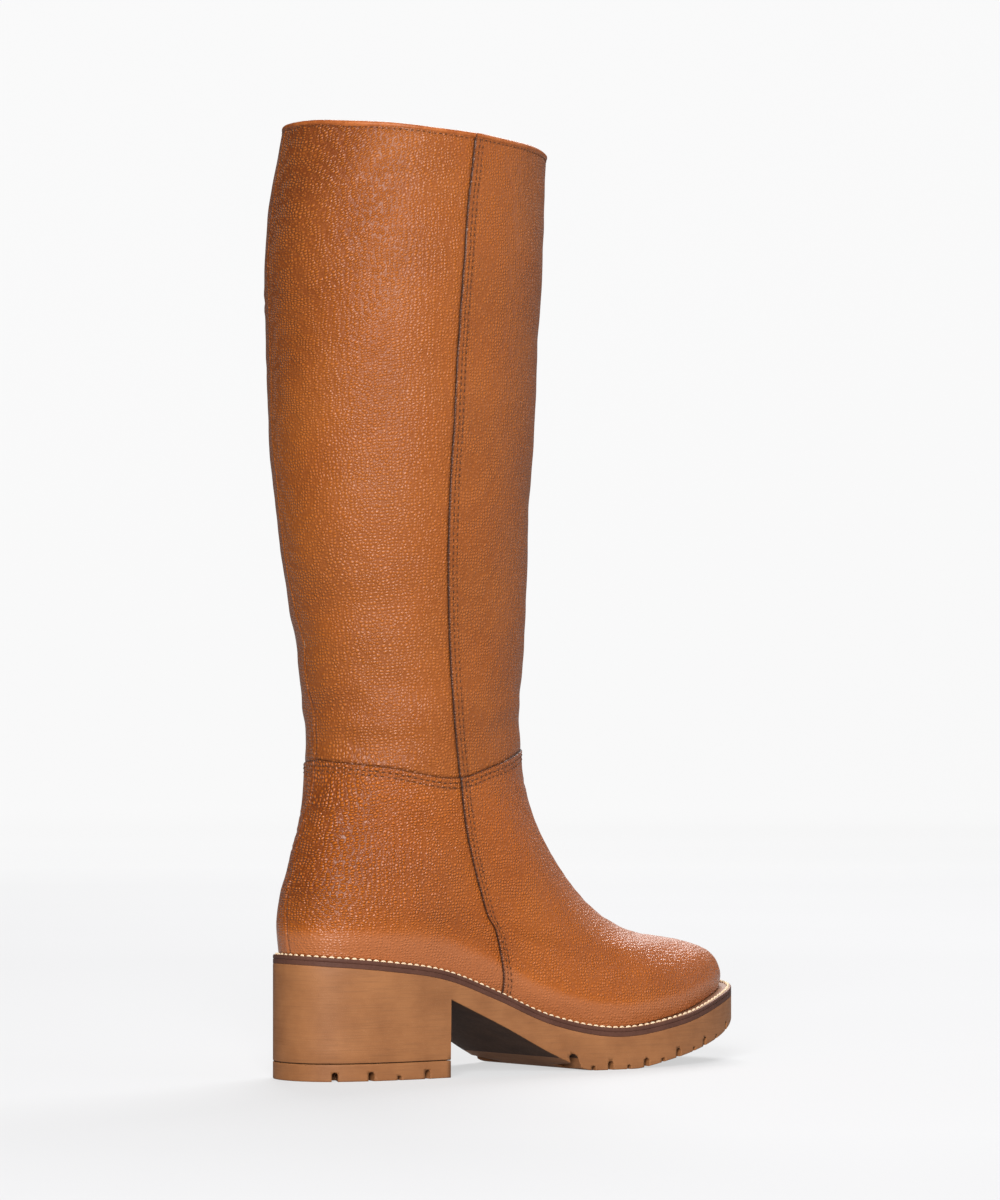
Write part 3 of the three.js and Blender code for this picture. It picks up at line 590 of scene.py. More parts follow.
class Paint:
    """A node material, built from short calls."""

    def __init__(self, name, **constants):
        self.material = bpy.data.materials.new(name)
        self.material.use_nodes = True
        self.nodes, self.links = self.material.node_tree.nodes, self.material.node_tree.links
        self.shader = self.nodes["Principled BSDF"]
        for socket, value in constants.items():
            self.shader.inputs[socket.replace("_", " ")].default_value = value

    def node(self, kind, inputs=(), out=0, **settings):
        made = self.nodes.new("ShaderNode" + kind)
        for key, value in settings.items():
            setattr(made, key, value)
        for socket, value in dict(inputs).items():
            self.feed(made.inputs[socket], value)
        return made.outputs[out]

    def feed(self, socket, value):
        if isinstance(value, bpy.types.NodeSocket):
            self.links.new(value, socket)
        else:
            socket.default_value = value

    def set(self, **sockets):
        for socket, value in sockets.items():
            self.feed(self.shader.inputs[socket.replace("_", " ")], value)

    def place(self):
        return self.node("TexCoord", out="Object")

    def mark(self, name, vector=False):
        return self.node("Attribute", out="Vector" if vector else "Fac", attribute_name=name)

    def math(self, operation, a, b, clamp=False):
        return self.node("Math", {0: a, 1: b}, operation=operation, use_clamp=clamp)

    def vector(self, operation, a, b=(0, 0, 0), scale=None):
        inputs = {0: a, 1: b}
        if scale is not None:
            inputs["Scale"] = scale
        return self.node("VectorMath", inputs, operation=operation)

    def noise(self, vector, scale, detail=2.0, rough=.5, out="Fac"):
        inputs = {"Vector": vector, "Scale": scale, "Detail": detail, "Roughness": rough}
        return self.node("TexNoise", inputs, out=out)

    def cells(self, vector, scale, feature="F1", random=1.0):
        inputs = {"Vector": vector, "Scale": scale, "Randomness": random}
        return self.node("TexVoronoi", inputs, out="Distance", feature=feature)

    def range(self, value, low, high, to_low=0.0, to_high=1.0, kind="SMOOTHSTEP"):
        inputs = {"Value": value, "From Min": low, "From Max": high, "To Min": to_low, "To Max": to_high}
        return self.node("MapRange", inputs, interpolation_type=kind)

    def mix(self, share, a, b):
        made = self.nodes.new("ShaderNodeMix")
        made.data_type = "RGBA"
        self.feed(made.inputs[0], share)
        for socket, value in ((6, a), (7, b)):
            linked = isinstance(value, bpy.types.NodeSocket)
            self.feed(made.inputs[socket], value if linked else (*value[:3], 1))
        return made.outputs[2]

    def bump(self, height, distance):
        return self.node("Bump", {"Height": height, "Distance": distance * MM, "Strength": 1.0})


def leather(name, crest, valley_shade_colour, pale, cell=1.58, depth=.31, gloss=.37, amber=None, coat=.40):
    """Pebbled full-grain leather: rounded cells with valleys darkened as painted shade and crest tops
    lightened as a painted highlight, rubbed smooth where marked.
    """
    p = Paint(name, Sheen_Weight=.04, Sheen_Roughness=.22, Specular_IOR_Level=.20, IOR=1.48,
              Coat_Weight=coat, Coat_Roughness=.34, Coat_IOR=1.45)
    grain = p.mark("grain", vector=True)
    drift = p.noise(p.vector("SCALE", grain, scale=.085), 1.0, 2.0, .5, out="Color")
    warp = p.vector("SUBTRACT", drift, (.5, .5, .5))
    bent = p.vector("ADD", p.vector("SCALE", grain, scale=1 / cell), p.vector("SCALE", warp, scale=1.6))
    wide = p.cells(bent, 1.0, "DISTANCE_TO_EDGE", random=.6)
    pebble = p.range(wide, .0, .46)
    valley_line = p.range(wide, .0, .36)
    dome = p.range(p.cells(bent, 1.0, "F1", random=.6), .75, .05)
    dust = p.noise(grain, 3.2, 2.0, .6)
    height = p.math("ADD", p.math("MULTIPLY", pebble, .55), p.math("MULTIPLY", dome, .45))
    rubbed = p.mark("rubbed")
    swell = p.noise(p.vector("SCALE", grain, scale=.03), 1.0, 2.0)
    strength = p.math("MULTIPLY", p.range(swell, .3, .7, .88, 1.08), p.range(rubbed, 0, 1, 1.0, .52))
    strength = p.math("MULTIPLY", strength, p.range(p.mark("drawn"), 0, 1, 1.0, 1.9, "LINEAR"))
    relief = p.math("MULTIPLY", height, strength)
    p.set(Normal=p.bump(relief, depth * 1.1), Coat_Normal=p.bump(relief, depth * .8))
    blotch = p.noise(p.vector("SCALE", grain, scale=.022), 1.0, 3.0, .55)
    body = p.mix(p.range(blotch, .25, .75), amber or crest, crest)
    # The valleys are darkened towards the valley colour: painted shade in the grain's hollows. The same mask
    # makes them rougher.
    valley_shade_mask = p.math("MULTIPLY", p.math("SUBTRACT", 1.0, valley_line), p.math("MULTIPLY", strength, .55), True)
    colour = p.mix(valley_shade_mask, body, valley_shade_colour)
    # The crests' tops are lightened: a painted highlight.
    colour = p.mix(p.range(dome, .5, 1.0, 0, .08), colour, tuple(min(1, 1.2 * c) for c in crest))
    speck = p.noise(grain, .55, 2.0, .6)
    colour = p.mix(p.range(speck, .35, .7, 0, .07), colour, pale)
    colour = p.mix(p.range(rubbed, .35, 1, 0, .60), colour, pale)
    # The dye and painted shade, broken up a little, mixed towards near black.
    dye_and_shade = p.math("MULTIPLY", p.mark("dye_and_shade"), p.range(dust, .1, .6, .7, 1.0), clamp=True)
    colour = p.mix(dye_and_shade, colour, (.022, .009, .006))
    p.set(Base_Color=colour)
    rough = p.range(dust, .2, .8, gloss - .05, gloss + .07, "LINEAR")
    p.set(Roughness=p.math("ADD", rough, p.math("MULTIPLY", valley_shade_mask, .45)))
    return p.material


def plain(name, colour, second, scale, rough, bump=.05, stretch=(1, 1, 1), metal=0.0, detail=3.0,
          **constants):
    """A material with uneven colour and a fine grain."""
    p = Paint(name, Metallic=metal, **constants)
    where = p.vector("MULTIPLY", p.place(), tuple(1000 * s for s in stretch))
    patch = p.noise(where, scale * .12, 2.0)
    grit = p.noise(where, scale, detail, .6)
    blend = p.math("ADD", p.math("MULTIPLY", patch, .6), p.math("MULTIPLY", grit, .4))
    colour = p.mix(p.range(blend, .36, .64), colour, second)
    p.set(Base_Color=colour, Roughness=p.range(grit, .2, .8, rough - .06, rough + .08, "LINEAR"))
    p.set(Normal=p.bump(grit, bump))
    return p.material


def rubber(name):
    """Honey crepe-like rubber: cloudy colour, dark level streaks and pale grit."""
    p = Paint(name, Specular_IOR_Level=.25, Coat_Weight=0, IOR=1.5)
    place = p.vector("SCALE", p.place(), scale=1000)
    cloud = p.noise(place, .045, 3.0, .6)
    streak = p.noise(p.vector("MULTIPLY", place, (.06, .06, 1.5)), 1.0, 3.0, .65)
    grit = p.noise(place, 2.2, 2.0, .7)
    low, high = (.238, .092, .032), (.320, .132, .048)
    colour = p.mix(p.range(cloud, .25, .75), low, high)
    colour = p.mix(p.range(streak, .42, .72, 0, .30), colour, (.165, .070, .030))
    colour = p.mix(p.range(grit, .56, .8, 0, .30), colour, (.42, .24, .12))
    p.set(Base_Color=colour, Roughness=p.range(streak, .2, .8, .50, .66, "LINEAR"))
    height = p.math("ADD", p.math("MULTIPLY", streak, .7), p.math("MULTIPLY", grit, .5))
    p.set(Normal=p.bump(height, .10))
    return p.material


def cloth(name, colour, second, pitch=.55, rough=.85):
    """A woven tape or elastic: a fine weave of two tones."""
    p = Paint(name, Sheen_Weight=.2, Sheen_Roughness=.5, Specular_IOR_Level=.25)
    place = p.vector("SCALE", p.place(), scale=1000)
    weave = p.cells(p.vector("MULTIPLY", place, (1, 1, 1.6)), 1 / pitch, "F1")
    fuzz = p.noise(place, 3.0, 2.0, .7)
    p.set(Base_Color=p.mix(p.range(weave, .1, .6), second, colour))
    p.set(Roughness=p.range(fuzz, .2, .8, rough - .06, rough + .06))
    p.set(Normal=p.bump(p.math("SUBTRACT", fuzz, weave), .12))
    return p.material


# The valley colours are painted shade for the grain's hollows.
LEATHER = leather("boot_leather", crest=(.385, .108, .014), amber=(.36, .092, .009),
                  valley_shade_colour=(.145, .030, .003), pale=(.40, .14, .045))
FOOT_LEATHER = leather("foot_leather", crest=(.475, .120, .007), amber=(.435, .100, .003),
                       valley_shade_colour=(.14, .027, .001), pale=(.365, .128, .052),
                       cell=1.5, depth=.40, gloss=.34, coat=.58)
CUT_EDGE = plain("leather_cut_edge", (.030, .013, .008), (.060, .026, .015), 1.6, .75)
FLESH = plain("leather_flesh", (.33, .16, .08), (.27, .12, .06), 1.2, .85)
FOLD = plain("collar_fold_leather", (.40, .115, .026), (.27, .066, .012), 1.1, .46, .16,
             Specular_IOR_Level=.3)
LINING_LEATHER = plain("lining_leather", (.56, .40, .26), (.50, .34, .21), .9, .68, .06, Sheen_Weight=.1)
SOCK = plain("sock_leather", (.50, .33, .20), (.43, .27, .155), .8, .62, .05)
RUBBER = rubber("honey_rubber")
# A darker copy of the rubber for the sole's downward faces: painted shade under the arch.
RUBBER_UNDER = plain("underside_shade_rubber", (.085, .042, .024), (.060, .029, .017), .9, .7, .08,
                     Specular_IOR_Level=.2)
BAND = plain("stained_welt_edge", (.100, .041, .027), (.078, .031, .020), .8, .6, .05, Specular_IOR_Level=.2)
WELT_FACE = plain("welt_leather", (.26, .115, .052), (.18, .075, .034), .9, .60, .07)
DARK_THREAD = plain("dark_thread", (.080, .029, .012), (.120, .044, .019), 3.0, .7, .10,
                    Specular_IOR_Level=.15)
ZIP_THREAD = plain("zip_thread", (.055, .020, .010), (.10, .038, .018), 3.0, .7, .10, Specular_IOR_Level=.15)
CREAM_THREAD = plain("welt_thread", (.80, .64, .44), (.68, .50, .32), 2.6, .60, .14, Specular_IOR_Level=.3)
COIL = plain("zip_coil_plastic", (.020, .012, .010), (.034, .021, .018), 2.0, .38, .04)
TAPE = cloth("zip_tape_cloth", (.028, .017, .014), (.014, .008, .007))
ELASTIC = cloth("elastic_cloth", (.060, .030, .018), (.026, .013, .009), .8)
METAL = plain("slider_metal", (.105, .070, .058), (.055, .036, .030), 1.5, .36, .03, metal=.75)

# ---- leather panels -------------------------------------------------------------------------


def flat(value):
    """An edge at one level."""
    return lambda turn: np.full(np.shape(turn), float(value))


def below_seam(turn):
    """The foot's cut edge at the ankle."""
    return ankle(turn) + ragged(turn * 22, 4) / 30


def above_seam(turn):
    """The leg runs on a little under the foot's cut edge."""
    return ankle(turn) - LAP_UNDER / length(bearings(ankle(turn), turn)[0])


def zip_edge_front(level):
    return 1 - side_seam(level) - zip_half(level) / zip_round(level)


def zip_edge_back(level):
    """Below the zip the back panels run on under the front ones."""
    under = LAP_UNDER * (1 - opened(level, ZIP_CLOSE))
    return -side_seam(level) + (zip_half(level) - under) / zip_round(level)


def ragged(run, seed):
    """A knife-cut edge is never quite even: a small wander, in millimetres."""
    return sum(sway * np.sin(run * pace + k * seed)
               for k, (sway, pace) in enumerate([(.13, 83), (.10, 147), (.07, 241)], 1))


def seam_edge_front(level):
    return side_seam(level) + ragged(level, 1) / seam_round(level)


def seam_edge_back(level):
    return side_seam(level) + LAP_UNDER / seam_round(level)


def slit_half(level):
    """Half the slit's width in turns, wider at the collar."""
    share = smooth((level - SLIT_BOTTOM) / (COLLAR - SLIT_BOTTOM))
    return SLIT_NARROW + (SLIT_WIDE - SLIT_NARROW) * share


def slit_low(level):
    return SLIT_TURN - slit_half(level)


def slit_high(level):
    return SLIT_TURN + slit_half(level)


SLIT_CELL = np.array([0, 1.0])
LEG_ROWS = graded(296, .55, 1.85, 9)
LEG_LEATHERS = [LEATHER, CUT_EDGE, FLESH]
FOOT_LEATHERS = [FOOT_LEATHER, CUT_EDGE, FLESH]


def slit_mask(levels, gap):
    """The cells of a panel's grid that are leather: all but those of the slit's column."""
    keep = np.ones((levels.shape[0] - 1, levels.shape[1] - 1), bool)
    keep[levels[:-1, gap] > SLIT_BOTTOM, gap] = False
    return keep


def panel(name, edges, spacings, low, high, rows, front, foot, slit=False):
    """One of the four leather panels."""
    levels, turns = grid(edges, spacings, low, high, rows)
    outer = face(levels, turns, front, foot)
    keep = slit_mask(levels, len(spacings[0]) - 1) if slit else None
    sheet(name, levels, turns, outer, outer - LEATHER_THICK, FOOT_LEATHERS if foot else LEG_LEATHERS,
          "leather", keep=keep, settle=foot, dye_and_shade=dye_and_shade_marks(levels, turns, front, foot),
          replaced=["upper" if foot else "shaft"])


def leather_panels():
    panel("calf_leather", [zip_edge_back, slit_low, slit_high, back_seam, seam_edge_back],
          [graded(27), SLIT_CELL, graded(33), graded(118)], above_seam, flat(COLLAR), LEG_ROWS,
          front=False, foot=False, slit=True)
    panel("shin_leather", [seam_edge_front, zip_edge_front], [graded(222)], above_seam, flat(COLLAR),
          LEG_ROWS, front=True, foot=False)
    panel("quarter_leather", [zip_edge_back, back_seam, seam_edge_back], [graded(130)] * 2, flat(0),
          below_seam, graded(105, .55, 1.6, 8, start=False), front=False, foot=True)
    panel("vamp_leather", [seam_edge_front, zip_edge_front], [graded(395, .5, 2.5, 9)], flat(0),
          below_seam, graded(222, .7, 1.75, 10, start=False), front=True, foot=True)


def lining_panel():
    spacings = [graded(27, 1, 3, 6), SLIT_CELL, graded(380, 1, 3.4, 6)]
    levels, turns = grid([zip_edge_back, slit_low, slit_high, zip_edge_front], spacings, flat(.25),
                         flat(COLLAR - .01), graded(420, 1.5, 4, 10))
    outer, inner = (np.full(levels.shape, -depth) for depth in LINING)
    sheet("lining", levels, turns, outer, inner, [LINING_LEATHER] * 3, "lining",
          keep=slit_mask(levels, len(spacings[0]) - 1), replaced=["shaft", "upper"])


def paced(levels, turns, pitch, skip=0.0):
    """Points spaced evenly along a run."""
    points = skin(levels, turns)
    travelled = np.concatenate([[0], np.cumsum(length(np.diff(points, axis=0)))])
    at = np.arange(skip + pitch / 2, travelled[-1] - pitch / 3, pitch)
    return np.interp(at, travelled, levels), np.interp(at, travelled, turns)


def lowered(levels, turns, distance):
    """Levels of a run moved down the leather."""
    return levels - distance / length(bearings(levels, turns)[0])


def thread(centres, alongs, outs, long, radius, slant=0.0, dip=.45, rows=6, sides=6):
    """Many plump stitches as one mesh: each dives into its holes at both ends."""
    x = np.linspace(-1, 1, rows)
    belly = radius * np.clip(1 - np.abs(x) ** 4, .12, 1)
    angle = np.linspace(0, 2 * np.pi, sides, endpoint=False)
    across = unit(np.cross(outs, alongs))
    alongs = unit(alongs * math.cos(slant) + across * math.sin(slant))
    across = unit(np.cross(outs, alongs))
    count = len(centres)
    jitter = 1 + rng.normal(0, .06, (count, 1, 1))
    local_x = x[None, :, None] * long / 2 * jitter * np.ones((1, 1, sides))
    local_y = belly[None, :, None] * np.cos(angle)[None, None] * jitter
    local_z = belly[None, :, None] * np.sin(angle)[None, None] - dip * (x**2)[None, :, None]
    points = (centres[:, None, None] + local_x[..., None] * alongs[:, None, None]
              + local_y[..., None] * across[:, None, None] + local_z[..., None] * outs[:, None, None])
    quads, caps = rings(rows, sides)
    shift = (np.arange(count) * rows * sides)[:, None, None]
    return points.reshape(-1, 3), [(quads + shift).reshape(-1, 4), (caps + shift).reshape(-1, sides)]


def sew(name, runs, material, long, pitch, radius, lift=.10):
    """Rows of stitches on the leather. A run is levels, turns and which panel it lies on."""
    centres, alongs, outs = [], [], []
    for levels, turns, front, foot in runs:
        level, turn = paced(levels, turns, pitch, rng.uniform(0, pitch / 2))
        level = level + rng.normal(0, .0015, level.shape)
        point, out = skin(level, turn), bearings(level, turn)[2]
        centres.append(point + out * (face(level, turn, front, foot) + lift)[:, None])
        alongs.append(unit(np.gradient(point, axis=0)))
        outs.append(out)
    points, faces = thread(*map(np.concatenate, (centres, alongs, outs)), long, radius)
    return build(name, points, faces, [material], "thread")


def past_ankle(levels, turns, front, seam):
    """A row that crosses the ankle seam, as a run on the foot and one on the leg."""
    for part, foot in ((levels < seam - BELOW_ANKLE, True), (levels > seam + ABOVE_ANKLE, False)):
        yield levels[part], turns[part], front, foot


# The ankle seam's rows of stitches: from turn, to turn, and whether on the front panel.
ANKLE_ROWS = [(-.222, .229, False), (.2335, .766, True)]


def seam_runs():
    """The double rows of the side seams and the ankle seam, each with the panel it lies on."""
    for row in SEAM_ROWS:
        levels = np.linspace(.02, COLLAR - .03, 1500)
        turns = side_seam(levels) + row / seam_round(levels)
        yield from past_ankle(levels, turns, True, ankle(side_seam(levels)))
        closed = np.linspace(.02, ZIP_BOTTOM - .16, 200)
        yield closed, 1 - side_seam(closed) - row / zip_round(closed), True, True
        for start, stop, front in ANKLE_ROWS:
            turn = np.linspace(start, stop, 900)
            yield lowered(ankle(turn), turn, row), turn, front, True


def zip_runs():
    """The double rows on both sides of the zip."""
    for row in ZIP_ROWS:
        for front in (True, False):
            levels = np.linspace(ZIP_BOTTOM + .02, COLLAR - .06, 1500)
            gap = (ZIP_HALF + row) / zip_round(levels)
            turns = 1 - side_seam(levels) - gap if front else -side_seam(levels) + gap
            yield from past_ankle(levels, turns, front, ankle(turns))


def back_runs():
    """The fine row of the back seam."""
    levels = np.linspace(.03, COLLAR - .05, 1500)
    turns = back_seam(levels)
    return past_ankle(levels, turns, False, ankle(turns))


def rim_runs():
    """The row under the collar's edge, and the U of stitches round the slit."""
    gap = (ZIP_HALF + 1) / zip_round(COLLAR)
    seam = side_seam(COLLAR)
    slit = 1.4 / length(bearings(COLLAR, SLIT_TURN)[1])
    for start, stop, front in ((gap - seam, SLIT_TURN - slit, False), (SLIT_TURN + slit, seam - .003, False),
                               (seam + .004, 1 - seam - gap, True)):
        turn = np.linspace(start, stop, 900)
        yield lowered(np.full(turn.shape, COLLAR), turn, RIM_ROW), turn, front, False
    around = length(bearings(COLLAR - 1, SLIT_TURN)[1])
    for side in (-1, 1):
        level = np.linspace(U_BOTTOM + U_HALF / SLIT_UP, COLLAR - .08, 600)
        yield level, np.full(level.shape, SLIT_TURN + side * U_HALF / around), False, False
    angle = np.linspace(np.pi, 2 * np.pi, 200)
    yield (U_BOTTOM + U_HALF * (1 + np.sin(angle)) / SLIT_UP, SLIT_TURN + U_HALF * np.cos(angle) / around,
           False, False)


def ribbon(name, turn_of, levels, width, depths, material, slot, cells, **more):
    """A strip along the boot at two depths under the last."""
    across = (np.linspace(0, 1, cells + 1) - .5)[None, :] * width
    level = np.repeat(levels[:, None], cells + 1, 1)
    base = turn_of(level)
    turn = base + across / length(bearings(level, base)[1])
    outer, inner = (np.full(level.shape, -depth) for depth in depths)
    return sheet(name, level, turn, outer, inner, [material] * 3, slot, **more)


# The folded rim's section: depth into the wall and rise over the collar.
LIP = [(-.12, -1.35), (-.34, -1.1), (-.40, -.5), (-.28, .05), (.15, .5), (.8, .68), (1.45, .5), (1.95, .1),
       (2.15, -.3), (2.2, -1.4), (2.1, -2.2), (1.3, -2.2), (.5, -2.0)]
LIP_END = .82                       # its size at a parted end


def collar_fold():
    """The folded top edge: a rounded lip over leather and lining, parted at the zip and the slit."""
    gap = (ZIP_HALF + .2) / zip_round(COLLAR)
    slit = .9 / length(bearings(COLLAR, SLIT_TURN)[1])
    seam = side_seam(COLLAR)
    parts = (gap - seam, SLIT_TURN - slit), (SLIT_TURN + slit, 1 - seam - gap)
    for number, (start, stop) in enumerate(parts):
        turns = np.linspace(start, stop, max(8, int((stop - start) * ROUND_COLLAR / 1.6)))
        turns = np.concatenate([[turns[0]], turns, [turns[-1]]])
        up, around, out = bearings(np.full(turns.shape, COLLAR), turns)
        up = unit(up)
        edge = skin(np.full(turns.shape, COLLAR), turns)
        step = LAP * np.where(turns > seam, gauss((turns - seam) * ROUND_COLLAR, LAP_FADE), 0)
        wave = sum(depth * np.sin(edge @ pull + phase) for pull, phase, depth in WAVES)
        shrink = np.ones(len(turns))
        shrink[[0, -1]] = LIP_END
        loops = []
        for depth, rise in LIP:
            out_by = -depth * shrink - .8 * (1 - shrink) + (wave + step) * (depth < .5)
            up_by = rise * shrink + .12 * np.sin(turns * 61)
            loops.append(edge + out * out_by[:, None] + up * up_by[:, None])
        points = np.stack(loops, 1)
        faces = rings(*points.shape[:2])
        solid(f"collar_fold_{number}", points.reshape(-1, 3), faces, [FOLD], "leather")


# ---- sole ------------------------------------------------------------------------------------

HEEL_BREAST = 31.7
LIFT = 8.0
LIFT_GAP = .25                      # the line between the top lift and the heel
RUBBER_DOWN = 4.12                  # from the welt's top to the rubber
BAND_DOWN = 4.25, 2.02              # from the welt's top to the band's underside and top


def turn_at(x):
    """The turn at which the sole's outer edge reaches x."""
    along = (np.asarray(x, float) - WELT_EDGE["backX"]) / (WELT_EDGE["frontX"] - WELT_EDGE["backX"])
    return np.arccos(1 - 2 * along) / (2 * np.pi)


BREAST_TURN = turn_at(HEEL_BREAST)


def outline(sec, turn, inset):
    """A section's outline, moved inward."""
    x, y, _ = plan(sec, turn)
    ahead, behind = plan(sec, turn + STEP_ROUND), plan(sec, turn - STEP_ROUND)
    along = unit(np.stack([ahead[0] - behind[0], ahead[1] - behind[1]], -1))
    return x - along[..., 1] * inset, y + along[..., 0] * inset


EDGE, FOOT_EDGE = ({key: np.asarray(value, float) for key, value in sec.items()}
                   for sec in (WELT_EDGE, FEATHER))


def below_welt(distance):
    """A height that follows the welt's top, as a function of x."""
    return lambda x: welt_top(x) - distance


def forepart_bottom(x):
    return np.maximum(0, table(SOLE_BOTTOM, x))


def slab(turns, sec, low, high, profile, across=7, stop_at=None):
    """A body of the sole as a loft of cross-sections, one for each turn from the back to the front.

    profile: rows from the underside's rim up to the top's rim, as inset, share of the way up and
    millimetres added to that."""
    sides = []
    for turn in (turns, 1 - turns):
        part = []
        for inset, share, more in profile:
            x, y = outline(sec, turn, inset)
            if stop_at is not None:
                x = np.where(turns >= turns[-1] - 1e-9, stop_at, x)
            part.append(np.stack([x, y, low(x) * (1 - share) + high(x) * share + more], -1))
        sides.append(part)
    outer, inner = sides
    loop = list(outer)
    over, under = (outer[-1], inner[-1], high, inner[::-1]), (inner[0], outer[0], low, [])
    for start, stop, height, rest in (over, under):
        for share in np.arange(1, across) / across:
            p = start * (1 - share) + stop * share
            p[:, 2] = height(p[:, 0])
            loop.append(p)
        loop += rest
    points = np.stack(loop, 1)
    quads, caps = rings(*points.shape[:2])
    return points.reshape(-1, 3), [quads] if stop_at is None else [quads, caps[1:]]


def rounded(radius, rows=6, inset=0.0):
    """A slab's profile with rounded rims."""
    corner = [(inset + radius * (1 - math.sin(t)), radius * (1 - math.cos(t)))
              for t in np.linspace(0, math.pi / 2, 4)]
    return ([(inward, 0, rise) for inward, rise in corner]
            + [(inset, share, 0) for share in np.linspace(.15, .85, rows)]
            + [(inward, 1, -rise) for inward, rise in reversed(corner)])


def cut(piece, cutter):
    """Takes the cutter out of the piece for good."""
    change = piece.modifiers.new("cut", "BOOLEAN")
    change.operation, change.object, change.solver = "DIFFERENCE", cutter, "MANIFOLD"
    bpy.context.view_layer.update()
    shaped = piece.evaluated_get(bpy.context.evaluated_depsgraph_get())
    mesh = bpy.data.meshes.new_from_object(shaped)
    piece.modifiers.clear()
    piece.data = mesh
    bpy.data.objects.remove(cutter)


def loose(name, points, faces):
    """A mesh object that is only used to cut another."""
    thing = placed(name, mesh_of(name, points, faces))
    tidy_mesh(thing.data)
    return thing


NOTCH_PAST = 3.0                    # how far a cutter starts outside the edge and below the tread


def notch(x, y, inward, base, width, height, reach, lean=0.0):
    """A bullet-shaped groove running in from the sole's edge."""
    half = width / 2
    arch = [(half * math.cos(t), height - half + half * math.sin(t)) for t in np.linspace(0, math.pi, 7)]
    shape = [(half, -NOTCH_PAST), *arch, (-half, -NOTCH_PAST)]
    inward = np.array([*inward, 0.0])
    across = np.array([-inward[1], inward[0], 0.0])
    loops = []
    for travel, scale in ((-NOTCH_PAST, 1.12), (reach * .6, 1.0), (reach, .8)):
        start = np.array([x, y, base]) + inward * travel
        loops.append([start + across * (a * scale + lean * b) + np.array([0, 0, b]) for a, b in shape])
    points = np.array(loops)
    return points.reshape(-1, 3), rings(*points.shape[:2])


def join(parts):
    """One set of points and faces from several."""
    points, groups, offset = [], {}, 0
    for part_points, part_faces in parts:
        points.append(part_points)
        for group in part_faces:
            groups.setdefault(group.shape[1], []).append(group + offset)
        offset += len(part_points)
    return np.concatenate(points), [np.concatenate(g) for g in groups.values()]


# Kinds of notch: width, height and reach.
DEEP, SHALLOW = (2.7, 4.3, 11.0), (1.9, 2.2, 5.0)
TREAD_END, TREAD_LEAN = (4.4, 5.6, 15.0), .35   # the slanted one where the forepart's tread begins
# Where the edges are notched: x along the sides, and shares of a turn from the toe's tip.
FORE_NOTCHES = [(113, SHALLOW), (122.3, DEEP), (132.5, SHALLOW), (142.6, DEEP), (152.7, SHALLOW),
                (162.6, DEEP), (173.9, SHALLOW), (183, DEEP), (193.9, SHALLOW), (205.5, DEEP)]
HEEL_NOTCHES = [(-27.4, DEEP), (-11.3, DEEP), (2.8, SHALLOW), (18.2, DEEP)]
TOE_NOTCHES = [(0, DEEP), (-.0245, SHALLOW), (.0245, SHALLOW), (-.049, DEEP), (.049, DEEP)]
TREAD_START = 103.5
SHADED_ABOVE = 6.0                 # height over the floor, clear of the tread


def edge_notch(turn, base, kind, lean=0.0):
    (x, y), deeper = (outline(EDGE, np.asarray(turn), inset) for inset in (0.0, 1.0))
    inward = unit(np.array([deeper[0] - x, deeper[1] - y]))
    return notch(float(x), float(y), inward, float(base(x)), *kind, lean=lean)


def side_notches(rows, base, lean=0.0):
    """The same notches along both sides."""
    return [edge_notch(turn, base, kind, tilt)
            for x, kind in rows for turn, tilt in ((turn_at(x), lean), (1 - turn_at(x), -lean))]


def outsole():
    heel = np.linspace(0, BREAST_TURN, 46)
    ahead = turn_at(HEEL_BREAST + .35)
    turns = np.concatenate([heel, .5 - (.5 - ahead) * np.linspace(1, 0, 150)])
    in_heel = np.arange(len(turns)) < len(heel)
    points, faces = slab(turns, EDGE, lambda x: np.where(in_heel, LIFT + LIFT_GAP, forepart_bottom(x)),
                         below_welt(RUBBER_DOWN), rounded(.55, 7), across=8)
    piece = solid("rubber_sole", points, faces, [RUBBER], "rubber", replaced=["outsole"])
    cutters = side_notches([(TREAD_START, TREAD_END)], forepart_bottom, TREAD_LEAN)
    cutters += side_notches(FORE_NOTCHES, forepart_bottom)
    cutters += [edge_notch(.5 + share, forepart_bottom, kind) for share, kind in TOE_NOTCHES]
    cut(piece, loose("cut_notches", *join(cutters)))
    darken_underside(piece)


def darken_underside(piece):
    """Downward faces of the sole between heel and tread get a darker copy of the rubber: painted shade under
    the arch.
    """
    mesh = piece.data
    mesh.materials.append(RUBBER_UNDER)
    shaded = len(mesh.materials) - 1
    for side in mesh.polygons:
        low = min(mesh.vertices[v].co.z for v in side.vertices)
        if side.normal.z < -.3 and low > SHADED_ABOVE * MM:
            side.material_index = shaded


def top_lift():
    turns = np.linspace(0, BREAST_TURN, 46)
    points, faces = slab(turns, EDGE, np.zeros_like, lambda x: np.full(np.shape(x), LIFT), rounded(.45, 4),
                         stop_at=HEEL_BREAST)
    piece = solid("heel_top_lift", points, faces, [RUBBER], "rubber", replaced=["top_lift"])
    cut(piece, loose("cut_lift_notches", *join(side_notches(HEEL_NOTCHES, np.zeros_like))))


def midsole():
    low, high = map(below_welt, BAND_DOWN)
    points, faces = slab(np.linspace(0, .5, 150), EDGE, low, high, rounded(.32, 2), across=4)
    solid("midsole_band", points, faces, [BAND], "sole_edge", replaced=["midsole"])


